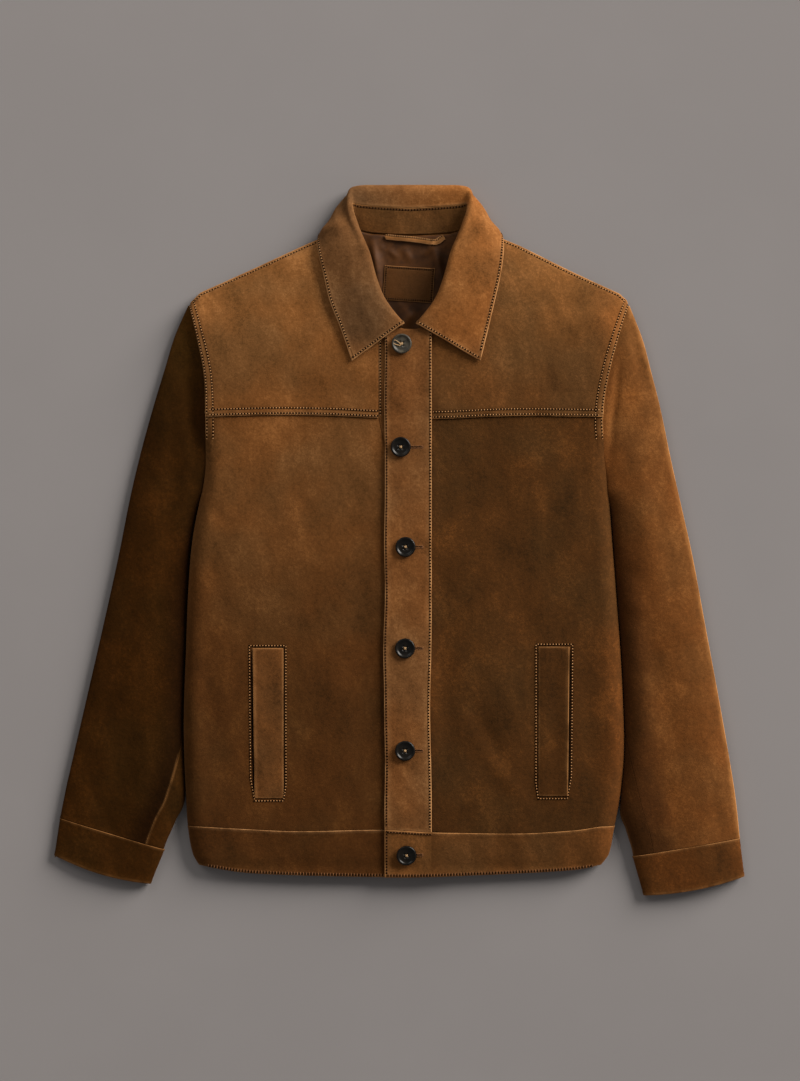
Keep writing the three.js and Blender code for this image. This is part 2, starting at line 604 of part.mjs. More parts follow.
/** A cuff: a closed band round the sleeve's end. */
function cuff(rows, end, side) {
  const last = section(rows, side, 1);
  const outer = (u, v) => {
    const t = lerp(0, 1, v);
    const mix = (a, b) => a.map((c, k) => lerp(c, b[k], t));
    const part = { outer: mix(last.outer, end.outer), inner: mix(last.inner, end.inner) };
    part.loft = lerp(last.loft, end.loft, t);
    const upper = u < 0.5;
    const s = crowdBoth(upper ? u * 2 : 2 - u * 2);
    const point = upper ? sleeveTop(part, s, []) : sleeveBottom(part, s);
    point[1] -= SEAM + end.bow * t * Math.sin(Math.PI * s);
    return point;
  };
  return wall(outer, { nu: 28, nv: 2, ring: true, flip: side < 0 });
}

for (const [name, side, rows, folds, end] of [
  ['right', -1, SLEEVE_RIGHT, SLEEVE_RIGHT_FOLDS, CUFF_RIGHT],
  ['left', 1, SLEEVE_LEFT, SLEEVE_LEFT_FOLDS, CUFF_LEFT],
]) {
  piece(`top_sleeve_${name}`, topSleeve(rows, folds, side));
  piece(`under_sleeve_${name}`, underSleeve(rows, folds, side));
  piece(`cuff_${name}`, cuff(rows, end, side));
}


// ---- Collar ----------------------------------------------------------------------------------
const collarCurves = new Map();
/** The collar's section at w, from -1 at its right front end to 1 at its left one. */
function collarSection(w) {
  if (collarCurves.has(w)) return collarCurves.get(w);
  const at = (1 - Math.abs(w)) * (COLLAR.length - 1);
  const get = (name, part) => column(COLLAR, null, name, at, part);
  const place = (off, y, z) => new THREE.Vector3(NECK_CENTRE + Math.sign(w) * off, y, z);
  const point = (name, leaning) => {
    const made = place(get(name, 0), get(name, 1), get(name, 2));
    made.x += leaning * get('lean');
    return made;
  };
  const [tilt, turn] = [get('tilt'), get('turn')].map(THREE.MathUtils.degToRad);
  const rolled = [90, 45, 0, -45, -90].map((step) => {
    const angle = tilt + THREE.MathUtils.degToRad(step);
    const out = get('radius') * Math.cos(angle);
    const up = get('radius') * Math.sin(angle);
    return place(get('roll', 0) + out * Math.cos(turn), get('roll', 1) + out * Math.sin(turn),
      get('roll', 2) + up);
  });
  const points = [point('seam', 0), ...rolled, point('over', 1 / 3), point('under', 2 / 3), point('edge', 1)];
  const curve = new THREE.CatmullRomCurve3(points, false, 'centripetal');
  const made = {
    curve,
    standEnd: curve.getUtoTmapping(0, get('stand') - SEAM),
    fallStart: curve.getUtoTmapping(0, get('stand') + SEAM),
  };
  collarCurves.set(w, made);
  return made;
}

/** The collar between two places of each section, both given by its curve's own parameter. */
function collar(between, options) {
  const outer = (u, v) => {
    const made = collarSection(2 * v - 1);
    const [start, end] = between(made);
    const [x, y, z] = made.curve.getPoint(clamp01(lerp(start, end, u))).toArray();
    return [x, y, Math.max(z, 0)];
  };
  return wall(outer, { ...options, flip: true });
}
piece('collar_stand', collar(({ standEnd }) => [0, standEnd], { nu: 3, nv: 40 }));
piece('collar_fall', collar(({ fallStart }) => [fallStart, 1], { nu: 15, nv: 40, thick: DOUBLE }));

// ---- Inside the back neck --------------------------------------------------------------------
/** Height of the lining's upper face, which lies on the inside of the back. */
const liningTop = (x, y) => backBottom(x, y) + CLOTH + 3 * SEAM + LINING_THICK;

/** The lining where the neck shows it, down to just below the front neckline. */
function neckLining() {
  const outer = (u, v) => {
    const off = lerp(-62, 62, u) * lerp(1, 0.97, v);
    const x = NECK_CENTRE + off;
    const y = lerp(206, shoulderY(x) - 0.6, v);
    return [x, y, liningTop(x, y)];
  };
  return wall(outer, { nu: 8, nv: 6, thick: LINING_THICK });
}

/** The label patch, a small rectangle set a little askew on the lining. */
function labelPatch() {
  const askew = THREE.MathUtils.degToRad(LABEL.askew);
  const outer = (u, v) => {
    const across = (u - 0.5) * LABEL.wide;
    const up = (v - 0.5) * LABEL.high;
    const x = LABEL.x + across * Math.cos(askew) - up * Math.sin(askew);
    const y = LABEL.y + across * Math.sin(askew) + up * Math.cos(askew);
    return [x, y, liningTop(x, y) + SEAM + LABEL.thick];
  };
  return wall(outer, { nu: 4, nv: 3, thick: LABEL.thick });
}

/** The hanger loop: a narrow folded strap that hangs from the neck seam. */
function hangerLoop() {
  const route = LOOP_ROUTE.map(({ x, y }) => new THREE.Vector3(x, y, 0));
  const curve = new THREE.CatmullRomCurve3(route);
  const outer = (u, v) => {
    const centre = curve.getPointAt(v);
    const ahead = curve.getTangentAt(v);
    const side = (u - 0.5) * LOOP.wide;
    const x = centre.x + side * ahead.y;
    const y = centre.y - side * ahead.x;
    return [x, y, liningTop(x, y) + SEAM + LOOP.thick + LOOP.sag * Math.sin(Math.PI * v)];
  };
  return wall(outer, { nu: 2, nv: 14, thick: LOOP.thick });
}
piece('neck_lining', neckLining(), LINING);
piece('label_patch', labelPatch(), SUEDE);
piece('hanger_loop', hangerLoop(), SUEDE);

// ---- Pocket welts ----------------------------------------------------------------------------
/** A pocket's welt: a strip on the front whose outer edge gapes a little. */
function welt({ inside, outside, slant, foot, head }) {
  const side = Math.sign(outside);
  const outer = (u, v) => {
    const x = lerp(outside - slant * (1 - v), inside, u);
    const y = lerp(foot, head, v);
    const gape = WELT_GAPE * (1 - smooth(0, 0.5, u)) * Math.sin(Math.PI * v);
    return [x, y, bodyTop(x, y) + SEAM + CLOTH + gape];
  };
  return wall(outer, { nu: 3, nv: 7, flip: side > 0 });
}
piece('pocket_welt_right', welt(WELT_RIGHT));
piece('pocket_welt_left', welt(WELT_LEFT));

// ---- Buttons ---------------------------------------------------------------------------------
/** Turns a closed geometry into a solid that can be cut. */
function solid(geometry) {
  for (const name of ['normal', 'uv']) geometry.deleteAttribute(name);
  const merged = mergeVertices(geometry, 1e-4);
  return new wasm.Manifold(new wasm.Mesh({
    numProp: 3,
    vertProperties: new Float32Array(merged.attributes.position.array),
    triVerts: new Uint32Array(merged.index.array),
  }));
}

/** A button: a disc with a raised rim, a dished middle and four thread holes. */
function buttonGeometry() {
  const { radius, thick, rim, hole, spread } = BUTTON;
  const profile = [
    [0, 0], [radius - 2.4, 0], [radius, thick * 0.45], [radius - 0.5, thick * 0.85],
    [radius - 1.3, thick], [radius - rim, thick * 0.86], [radius - rim - 1.2, thick * 0.6], [0, thick * 0.55],
  ];
  const disc = new THREE.LatheGeometry(profile.map(([r, z]) => new THREE.Vector2(r, z)), 14);
  let body = solid(disc.rotateX(Math.PI / 2));
  for (const [a, b] of [[1, 1], [1, -1], [-1, 1], [-1, -1]]) {
    const pin = new THREE.CylinderGeometry(hole, hole, 3 * thick, 6).rotateX(Math.PI / 2);
    body = body.subtract(solid(pin.translate(a * spread, b * spread, 0)));
  }
  const mesh = body.getMesh();
  const geometry = new THREE.BufferGeometry();
  geometry.setAttribute('position', new THREE.Float32BufferAttribute(mesh.vertProperties, 3));
  geometry.setIndex(new THREE.Uint32BufferAttribute(mesh.triVerts, 1));
  return geometry;
}

BUTTONS.forEach(({ x, y }, i) => {
  const lift = DOUBLE + SEAM + BUTTON.shank;
  const height = (dx, dy) => bodyTop(x + dx, y + dy) + lift;
  const normal = new THREE.Vector3(height(-6, 0) - height(6, 0), height(0, -6) - height(0, 6), 12);
  const button = piece(`button_${i + 1}`, buttonGeometry(), HORN);
  button.quaternion.setFromUnitVectors(new THREE.Vector3(0, 0, 1), normal.normalize());
  button.position.set(x, y, height(0, 0));
});

export default jacket;
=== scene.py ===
"""A button-front suede jacket that lies on its back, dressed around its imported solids.

Sizes are millimetres in the jacket's own frame: +X runs to the wearer's left, +Y from hem to
collar, +Z up from the surface that it lies on. `MM` turns them into metres where a mesh is made.
"""

import logging
import math
import random
from dataclasses import dataclass, field, replace
from enum import Enum
from typing import Callable, Iterable

import bmesh
import bpy
import numpy as np
from mathutils import Matrix, Vector

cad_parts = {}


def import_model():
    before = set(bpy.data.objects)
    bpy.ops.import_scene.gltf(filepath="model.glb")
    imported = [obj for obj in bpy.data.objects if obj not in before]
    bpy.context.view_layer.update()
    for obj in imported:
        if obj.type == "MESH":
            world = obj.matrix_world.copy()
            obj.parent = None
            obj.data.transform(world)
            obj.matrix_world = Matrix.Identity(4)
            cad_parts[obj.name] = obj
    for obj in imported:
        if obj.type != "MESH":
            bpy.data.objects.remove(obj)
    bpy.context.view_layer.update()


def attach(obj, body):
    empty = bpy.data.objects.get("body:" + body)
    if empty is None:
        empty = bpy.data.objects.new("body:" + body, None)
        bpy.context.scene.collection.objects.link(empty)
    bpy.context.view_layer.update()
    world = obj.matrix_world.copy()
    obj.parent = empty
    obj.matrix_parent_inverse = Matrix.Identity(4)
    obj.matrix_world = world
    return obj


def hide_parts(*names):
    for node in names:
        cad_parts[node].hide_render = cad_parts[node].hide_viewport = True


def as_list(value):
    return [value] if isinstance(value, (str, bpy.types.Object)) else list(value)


log = logging.getLogger("jacket")
Array = np.ndarray
Surface = Callable[[Array, Array], Array]
Socket = bpy.types.NodeSocket

MM = 0.001
BODY = "root"

# ---- Driving sizes ----
SUEDE_THICK = 1.5
DOUBLE_THICK = 2.4
GAP = 0.12
FOLD_HEIGHT = 6.5
SIDE_ROUNDING = 19
SHOULDER_ROUNDING = 58
LOWER_ROUNDING = 9
SLEEVE_OUTER_ROUNDING = 52
SLEEVE_INNER_ROUNDING = 27
ARMHOLE_TUCK = 3.0
HEM_SEAM_Y = -310
BACK_SEAM_Y = -309
HEM_SIDE_Y = -351
HEM_BACK_Y = -349
YOKE_Y = 133
ARMPIT = 22
ARMHOLE_FULL = 150
ROWS_FROM = 102
ARMHOLE_SHARE = 0.86
SHOULDER_SLANT = 0.91
NECK_RAISE = 3.3
NECK_CENTRE = 11.8
PLACKET = (-15.6, 35.0)
UNDER_PLACKET = (-22.0, 27.7)
PLACKET_LIFT = 3.5
HEM_LAP = (38, 80)
STITCH_PITCH = 3.2


class Side(Enum):
    """A side of a panel, by the parameter that is constant along it."""

    U0 = 0
    U1 = 1
    V0 = 2
    V1 = 3

    def along(self, u: Array, v: Array) -> Array:
        """The parameter that runs along the side."""
        return v if self in (Side.U0, Side.U1) else u


class Table:
    """Rows of named columns, read along the first one."""

    def __init__(self, names: str, *rows: tuple) -> None:
        """Keeps the rows.

        Args:
            names: the columns' names, parted by spaces.
            rows: a tuple of values for each row; a value may be a point.
        """
        self.names = names.split()
        self.rows = rows
        self.columns = {n: np.array([row[i] for row in rows], float) for i, n in enumerate(self.names)}
        self.key = self.columns[self.names[0]]

    def smooth(self, name: str, at: Array) -> Array:
        """A column's value on a smooth curve through its rows.

        Args:
            name: the column.
            at: places along the first column.

        Returns:
            The values, with the point's coordinates last.
        """
        key, value = self.key, self.columns[name]
        last = len(key) - 1
        at = np.asarray(at, float)
        number = np.arange(last + 1)
        before, after = np.maximum(number - 1, 0), np.minimum(number + 1, last)
        more = (1,) * (value.ndim - 1)
        slope = (value[after] - value[before]) / (key[after] - key[before]).reshape((-1, *more))
        i = np.clip(np.searchsorted(key, at) - 1, 0, last - 1)
        span = (key[i + 1] - key[i]).reshape((*at.shape, *more))
        t = clamp01((at - key[i]).reshape((*at.shape, *more)) / span)
        start = (1 + 2 * t) * (1 - t) ** 2 * value[i] + t * (1 - t) ** 2 * span * slope[i]
        end = t * t * (3 - 2 * t) * value[i + 1] + t * t * (t - 1) * span * slope[i + 1]
        return start + end

    def straight(self, name: str, at: Array) -> Array:
        """A column's value on straight lines between its rows."""
        return np.interp(at, self.key, self.columns[name])


# ---- Small mathematics ----
def lerp(a: Array, b: Array, t: Array) -> Array:
    """The value a share t of the way from a to b."""
    return a + (b - a) * t


def clamp01(t: Array) -> Array:
    """t, held between 0 and 1."""
    return np.clip(t, 0.0, 1.0)


def smooth(a: float, b: float, t: Array) -> Array:
    """A soft step from 0 at a to 1 at b."""
    s = clamp01((t - a) / (b - a))
    return s * s * (3 - 2 * s)


def round_rise(t: Array) -> Array:
    """A quarter circle's rise: upright at 0, and 1 from t = 1 on."""
    return np.sqrt(np.maximum(0.0, 1 - (1 - clamp01(t)) ** 2))


def bulge(t: Array, middle: float, width: float) -> Array:
    """A soft hump: 1 in its middle, and a third of that one width away."""
    return np.exp(-(((t - middle) / width) ** 2))


def crowd_both(t: Array) -> Array:
    """Even steps that crowd together towards both ends."""
    return (1 - np.cos(math.pi * np.asarray(t, float))) / 2


def unit(vectors: Array) -> Array:
    """Vectors of length 1 along the last axis."""
    return vectors / np.maximum(np.linalg.norm(vectors, axis=-1, keepdims=True), 1e-9)


def lengths(points: Array) -> Array:
    """Lengths from the first point, along the last axis but one."""
    steps = np.linalg.norm(np.diff(points, axis=-2), axis=-1)
    return np.concatenate([np.zeros((*steps.shape[:-1], 1)), np.cumsum(steps, axis=-1)], axis=-1)


def sample(values: Array, measured: Array, at: Array) -> Array:
    """Rows of values read at some of their measured lengths, straight from row to row."""
    return np.stack([np.interp(at, measured, column) for column in values.T], axis=-1)


def along(paths: Array, row: Array, share: Array) -> Array:
    """Points a share of the way along some of several paths, by length.

    Args:
        paths: one path of points in each row.
        row: for each wanted point, its path.
        share: for each wanted point, its share of the path's length.

    Returns:
        The points.
    """
    measured = lengths(paths)
    scaled = measured / measured[:, -1:] + 2 * np.arange(len(paths))[:, None]
    want = clamp01(share) + 2 * row
    i = np.clip(np.searchsorted(scaled.ravel(), want) - 1, row * paths.shape[1],
                (row + 1) * paths.shape[1] - 2)
    low, high = scaled.ravel()[i], scaled.ravel()[i + 1]
    t = clamp01((want - low) / np.maximum(high - low, 1e-9))[:, None]
    flat = paths.reshape(-1, paths.shape[-1])
    return lerp(flat[i], flat[i + 1], t)


def undulation(x: Array, y: Array, seed: int, longest: float = 150, shortest: float = 45) -> Array:
    """Soft uneven waves of about plus or minus one, the same each time for a seed.

    Args:
        x: x of the places.
        y: y of the places.
        seed: what picks the waves.
        longest: the longest wave.
        shortest: the shortest wave.

    Returns:
        The heights.
    """
    draw = random.Random(seed)
    total = np.zeros(np.broadcast(x, y).shape)
    count = 9
    for i in range(count):
        wave = lerp(longest, shortest, i / (count - 1)) * draw.uniform(0.85, 1.15)
        turn, phase = draw.uniform(0, math.pi), draw.uniform(0, 2 * math.pi)
        run = (x * math.cos(turn) + y * math.sin(turn)) * 2 * math.pi / wave
        total = total + np.sin(run + phase) * (wave / longest) ** 0.6
    return total / 3


def fold_height(folds: Iterable[tuple], x: Array, y: Array) -> Array:
    """The height that creases add: troughs or ridges between two points, with width and height.

    Args:
        folds: a row for each crease.
        x: x of the places.
        y: y of the places.

    Returns:
        The heights.
    """
    total = np.zeros(np.broadcast(x, y).shape)
    for (x0, y0), (x1, y1), width, height in folds:
        dx, dy = x1 - x0, y1 - y0
        t = ((x - x0) * dx + (y - y0) * dy) / (dx * dx + dy * dy)
        off = np.hypot(x - x0 - t * dx, y - y0 - t * dy)
        inside = height * np.sin(np.pi * t) * np.exp(-((off / width) ** 2))
        total += np.where((t > 0) & (t < 1), inside, 0)
    return total


# ---- Tables: a row for each section, seam point or crease ----
BODY_SIDES = Table(
    "y left right loft",
    (-352, -214.5, 216.5, 14), (-340, -222, 226, 16.5), (-312, -227.5, 232, 20),
    (-280, -229.7, 238.2, 22.2), (-232, -232, 242.8, 23.8), (-183, -232.3, 242.2, 25),
    (-119, -230, 239, 25.6), (-60, -227.8, 234.6, 26.4),
    (0, -223, 230, 27), (66, -210.5, 225, 27), (90, -208.3, 221.6, 27),
    (134, -207.8, 219, 27), (180, -209.8, 226, 27), (224, -218.8, 237.6, 26), (252, -226, 247, 24),
)
HEM = Table(
    "x hem seam",
    (-214, -351, -308.5), (-168, -358.5, -311), (-113, -361.5, -313.5), (-17, -363.6, -312),
    (34, -363.2, -314.5), (129, -359.6, -316), (190, -355.5, -312.5), (216, -351, -308.5),
)
YOKE = Table(
    "x y",
    (-208, 131.6), (-129, 133.3), (-74, 132.6), (-25, 130.3), (36, 129), (122, 132.2), (219, 131.2),
)
SHOULDER = Table(
    "x y",
    (-226.2, 251.5), (-222.5, 258), (-214, 266.3), (-192, 276), (-161, 290), (-103, 316.7),
    (-57, 337), (-30, 329.5), (11.8, 327.5), (53.6, 329.5), (80.6, 337), (130, 316.7), (183, 290.3),
    (216, 275), (238, 265), (245.4, 258), (247.6, 251.5),
)
NECKLINE = Table(
    "off y",
    (0, 225.5), (9, 226.6), (21.5, 233.5), (35.4, 247.5), (47, 267), (57, 291), (64.5, 314), (68.8, 337),
)
COLLAR = Table(
    "at seam roll radius tilt turn over under edge stand lean",
    (0, (9, 227, 29.6), (8.5, 229.8, 31.4), 3.2, 165, -30,
     (28.6, 217.2, 33.4), (48.9, 204, 31.7), (69, 191.2, 30.3), 2, 6.5),
    (1, (22, 234.6, 28), (20.1, 242.2, 31), 4.4, 168, -17,
     (39.8, 236.5, 35), (59.4, 230.7, 32.6), (79, 225, 30.3), 8, 4.8),
    (2, (36, 248.9, 27.8), (32.3, 258.6, 31), 5.4, 168, -4,
     (51.1, 257.4, 36), (69.8, 256.2, 33), (88.5, 255, 30.3), 10, 2.4),
    (3, (48, 269, 27.8), (40.7, 279, 31), 5.8, 168, 2,
     (58.9, 280.6, 36.2), (76.9, 281.8, 33.2), (95, 283, 30.3), 12, 2.2),
    (4, (56.5, 293, 26.8), (48.8, 307, 30.3), 6, 163, 0,
     (65.8, 306.6, 35.5), (82.7, 306.3, 32.6), (99.5, 306, 27.6), 14, 1),
    (5, (63.3, 315, 24.4), (55.5, 324, 27.5), 5.8, 148, 0,
     (73, 323, 32), (90.5, 322.5, 26.5), (100.4, 322, 17), 13, 0.5),
    (6, (65.6, 328.5, 17), (61, 339.3, 24.5), 5.4, 122, 8,
     (79.5, 337, 28), (95, 334, 16), (97.2, 330, 3), 15, 0.5),
    (7, (67.2, 338, 8.5), (64.6, 354, 20), 4.8, 92, 20,
     (82.5, 350.5, 14), (86, 344, 2), (79, 335, 0), 22, 0),
    (8, (60, 336, 6.2), (64.5, 369.5, 13.8), 4.6, 50, 48,
     (74.6, 364, 9), (76.5, 355, 0.6), (68, 330, 0), 27.5, 0),
    (9, (47, 332.1, 5.8), (57, 375.8, 8.6), 5.8, 12, 74,
     (65.5, 367, 1.5), (63, 345, 0), (59, 323, 0), 30, 0),
    (10, (24, 330, 5.8), (30, 376, 6.6), 6.5, 0, 88,
     (31, 356, 0), (31, 337, 0), (31, 318, 0), 29.5, 0),
    (11, (0, 329.2, 5.8), (0, 376.2, 6.5), 6.5, 0, 90,
     (0, 356, 0), (0, 337, 0), (0, 318, 0), 28.5, 0),
)
LOOP_ROUTE = Table(
    "at place",
    (0, (-15.6, 326.6)), (1, (-10, 325.9)), (2, (-2, 325.1)), (3, (16, 323.4)), (4, (32, 321.2)),
    (5, (40.5, 320.8)), (6, (48.5, 326.4)),
)
BUTTONS = Table(
    "y x",
    (209.5, 2.8), (99, 1.8), (-8, 7), (-116.5, 6.5), (-226.3, 6.5), (-339, 8),
)
SLEEVE_RIGHT = Table(
    "at outer inner clear loft cover",
    (0, (-227.4, 252.3), 248.5, 0.3, 12, 1), (1, (-242, 219), 214.5, 0.6, 19, 1),
    (2, (-252, 186), 181, 0.9, 22, 1), (3, (-264.5, 145), 134, 0.9, 24, 1),
    (4, (-278.5, 94), 82, 0.9, 25, 1), (5, (-290.5, 43), 32, 0.6, 25, 1),
    (6, (-303, -20), -36, 0.3, 25, 1), (7, (-320, -97), -117, 0.3, 25, 1),
    (8, (-339, -180), -204, 0.3, 25, 1), (9, (-357, -258), -277, 0.3, 24, 0.85),
    (10, (-361.6, -280), -303, 11.4, 22, 0.826), (11, (-365.7, -300.5), -334, 29, 19, 0.828),
)
SLEEVE_LEFT = Table(
    "at outer inner clear loft cover",
    (0, (248.6, 252.3), 248.5, 0.3, 12, 1), (1, (262.5, 216.5), 214.5, 0.6, 19, 1),
    (2, (271.5, 183), 181, 0.9, 22, 1), (3, (282.3, 140), 134, 0.9, 24, 1),
    (4, (293, 88), 82, 0.9, 25, 1), (5, (304.6, 36), 32, 0.6, 25, 1),
    (6, (317, -20), -36, 0.3, 25, 1), (7, (331.2, -97), -117, 0.3, 25, 1),
    (8, (346.6, -180), -204, 0.3, 25, 1), (9, (360, -258), -284, 0.6, 24, 0.829),
    (10, (364.6, -292), -314, 13.4, 22, 0.81), (11, (367.6, -322), -341.3, 26.4, 19, 0.814),
)
BODY_FOLDS = [
    ((70, 20), (128, -250), 26, 1.8), ((44, -20), (52, -280), 15, -2), ((-40, 80), (-44, -260), 17, -1.8),
    ((-190, 60), (-150, -60), 20, 1.6), ((205, 60), (170, -60), 20, 1.6),
    ((-215, -60), (-196, -290), 13, -1.8), ((196, -90), (212, -290), 13, -1.6),
    ((-100, 300), (-150, 190), 22, 1.5), ((140, 290), (150, 180), 24, 1.5),
    ((62, -150), (124, -262), 9, -1.1), ((78, -210), (150, -300), 8, 1.0),
    ((-128, -250), (-136, -306), 9, -1.2),
    ((46, 110), (50, 20), 7, -0.7), ((-52, -150), (-66, -290), 10, 0.9), ((-206, 40), (-176, 8), 6, -1.0),
    ((216, 46), (186, 6), 6, -1.0), ((-120, 120), (-96, 20), 16, -0.7), ((120, 110), (92, 10), 18, -0.7),
]
SLEEVE_RIGHT_FOLDS = [
    ((-226, 196), (-216, 76), 8, -5), ((-236, 150), (-252, -90), 12, -2.4),
    ((-262, -60), (-300, -200), 15, 2), ((-283, -205), (-316, -296), 13, -2.6),
    ((-262, -220), (-290, -310), 11, 1.8), ((-224, -28), (-262, -52), 6, -1.3),
    ((-228, -58), (-270, -70), 6, 1.1), ((-226, -96), (-268, -116), 7, -1.0),
    ((-300, -60), (-258, -24), 8, -0.9), ((-312, -120), (-272, -96), 9, 0.8),
    ((-336, -262), (-300, -330), 8, -1.2), ((-250, 180), (-262, 60), 9, 0.9),
]
SLEEVE_LEFT_FOLDS = [
    ((246, 246), (266, 160), 5.5, -2.3), ((238, 200), (224, 70), 4, -2.4), ((254, 120), (276, -80), 13, 2.2),
    ((262, -60), (296, -240), 14, -2.4), ((322, -120), (340, -290), 12, 1.8),
    ((231, -26), (268, -48), 6, -1.2), ((234, -62), (280, -84), 7, 1.1), ((316, -40), (276, -8), 8, -0.9),
    ((330, -110), (288, -88), 9, 0.8), ((282, -250), (306, -330), 9, -1.3),
    ((336, -230), (348, -330), 8, -1.2),
]
LINING_FOLDS = [
    ((-30, 330), (-20, 262), 4.5, 3.6), ((-16, 322), (-8, 284), 3.5, -2.2), ((34, 322), (52, 268), 4, 3.4),
    ((4, 316), (14, 298), 4, 1.8), ((52, 318), (60, 280), 4, -2), ((-40, 300), (-26, 236), 5, 3),
    ((20, 250), (-14, 214), 5, 2.6), ((44, 262), (20, 216), 4, 2.4), ((2, 262), (30, 232), 3.5, -2),
    ((44, 330), (26, 304), 3, 2.6), ((40, 326), (14, 306), 2.6, -1.8), ((-22, 318), (2, 302), 3, 1.6),
]


# ---- The body's and the sleeves' forms ----
def side_left(y: Array) -> Array:
    """x of the body's fold or armhole seam on the wearer's right."""
    return BODY_SIDES.smooth("left", y)


def side_right(y: Array) -> Array:
    """x of the body's fold or armhole seam on the wearer's left."""
    return BODY_SIDES.smooth("right", y)


def shoulder_y(x: Array) -> Array:
    """y of the shoulder seams and the back neck."""
    return SHOULDER.straight("y", x)


def neck_y(x: Array) -> Array:
    """y of the front neckline."""
    return NECKLINE.smooth("y", np.abs(x - NECK_CENTRE))


def hem_seam(x: Array) -> Array:
    """y of what lies just above the hem band's seam."""
    return HEM.smooth("seam", x) + GAP / 2


def armhole(y: Array) -> Array:
    """How far the armhole seam stands up: 0 below the armpit, 1 at its full height."""
    return smooth(ARMPIT, ARMHOLE_FULL, y)


def below_shoulder(x: Array, y: Array) -> Array:
    """How far a point is below the shoulder seam, square to it."""
    return np.maximum(0.0, (shoulder_y(x) - y) * SHOULDER_SLANT)


def body_top(x: Array, y: Array) -> Array:
    """Height of the fronts' outer face.

    Args:
        x: x of the places.
        y: y of the places.

    Returns:
        The heights.
    """
    inset = np.maximum(0.0, np.minimum(x - side_left(y), side_right(y) - x))
    kept = armhole(y) * ARMHOLE_SHARE
    side = kept + (1 - kept) * round_rise(inset / SIDE_ROUNDING)
    shoulder = round_rise(below_shoulder(x, y) / SHOULDER_ROUNDING)
    rise = BODY_SIDES.smooth("loft", y) - FOLD_HEIGHT
    relief = fold_height(BODY_FOLDS, x, y) + 0.55 * undulation(x, y, 3)
    return FOLD_HEIGHT + GAP / 2 + (rise + relief) * side * shoulder


def back_bottom(x: Array, y: Array) -> Array:
    """Height of the back's outer face, which lies on the surface and curls up at its folds.

    Args:
        x: x of the places.
        y: y of the places.

    Returns:
        The heights.
    """
    inset = np.maximum(0.0, np.minimum(x - side_left(y), side_right(y) - x))
    curl_side = (1 - armhole(y)) * (1 - round_rise(inset / LOWER_ROUNDING))
    off = np.abs(x - NECK_CENTRE)
    curl_shoulder = smooth(66, 84, off) * (1 - round_rise(below_shoulder(x, y) / LOWER_ROUNDING))
    raised = NECK_RAISE * smooth(255, 311, y) * (1 - smooth(78, 150, off))
    return lerp(raised, FOLD_HEIGHT - GAP / 2, np.maximum(curl_side, curl_shoulder))


def stack(*parts: Array) -> Array:
    """Coordinates as points along the last axis."""
    return np.stack(np.broadcast_arrays(*parts), axis=-1)


def coons(bottom: Callable, top: Callable, left: Callable, right: Callable) -> Callable:
    """A patch of the plane between four edges that meet at its corners, each from 0 to 1.

    Args:
        bottom: the edge at v = 0, as a function of u.
        top: the edge at v = 1.
        left: the edge at u = 0, as a function of v.
        right: the edge at u = 1.

    Returns:
        A function of u and v that gives x and y.
    """
    def place(u: Array, v: Array) -> list[Array]:
        """x and y at shares u across and v along."""
        edges = [bottom(u), top(u), left(v), right(v)]
        corners = [bottom(0.0), top(0.0), bottom(1.0), top(1.0)]
        return [
            (1 - v) * edges[0][k] + v * edges[1][k] + (1 - u) * edges[2][k] + u * edges[3][k]
            - (1 - u) * ((1 - v) * corners[0][k] + v * corners[1][k])
            - u * ((1 - v) * corners[2][k] + v * corners[3][k])
            for k in (0, 1)
        ]
    return place


def edge_along(start: float, end: float, height: Callable) -> Callable:
    """An edge of a patch that runs across, on a line that gives y for x.

    Args:
        start: x at its start.
        end: x at its end.
        height: y for an x.

    Returns:
        x and y for a share of the way.
    """
    def place(t: Array) -> tuple[Array, Array]:
        """x and y a share t of the way across."""
        x = lerp(start, end, t)
        return x, height(x)
    return place


def edge_up(start: float, end: float, offset: Callable) -> Callable:
    """An edge of a patch that runs up, on a line that gives x for y.

    Args:
        start: y at its start.
        end: y at its end.
        offset: x for a y.

    Returns:
        x and y for a share of the way.
    """
    def place(t: Array) -> tuple[Array, Array]:
        """x and y a share t of the way up."""
        y = lerp(start, end, t)
        return offset(y), y
    return place


# ---- Panels: thin walls of cloth ----
@dataclass(frozen=True)
class Edge:
    """How one side of a panel is finished.

    Attributes:
        rows: distances of the stitch rows from the edge.
        rise: extra height of the turned-in layers.
        reach: how far in those layers reach.
        roll: radius of the rounded edge.
        fold: whether the surface starts upright here, so that its grid has to be fine.
        rubbed: how light the edge is rubbed, from 0 to 1.
        span: the share of the side, from and to, where there are rows and a rise.
        shaded: how far in the cloth is darkened with painted shade, beside the body; 0 for not at all.
        shaded_from: the share of the side where that begins.
    """

    rows: tuple[float, ...] = ()
    rise: float = 0.0
    reach: float = 8.0
    roll: float = 0.0
    fold: bool = False
    rubbed: float = 0.0
    span: tuple[float, float] = (-1.0, 2.0)
    shaded: float = 0.0
    shaded_from: float = 0.0


PLAIN = Edge()
FOLDED = Edge(fold=True)
CUT = Edge(roll=0.5)
ROW_DEPTH = 0.42
ROW_WIDTH = 0.9
FAR = 60.0  # a distance past which no edge or row is felt
OFF_SPAN = 30  # what is added to a distance outside an edge's span
BEAD_FLOOR = 1.2  # no stitch's middle lies lower than this
SLOPE_STEP = 0.5  # how far apart heights are compared to find a slope


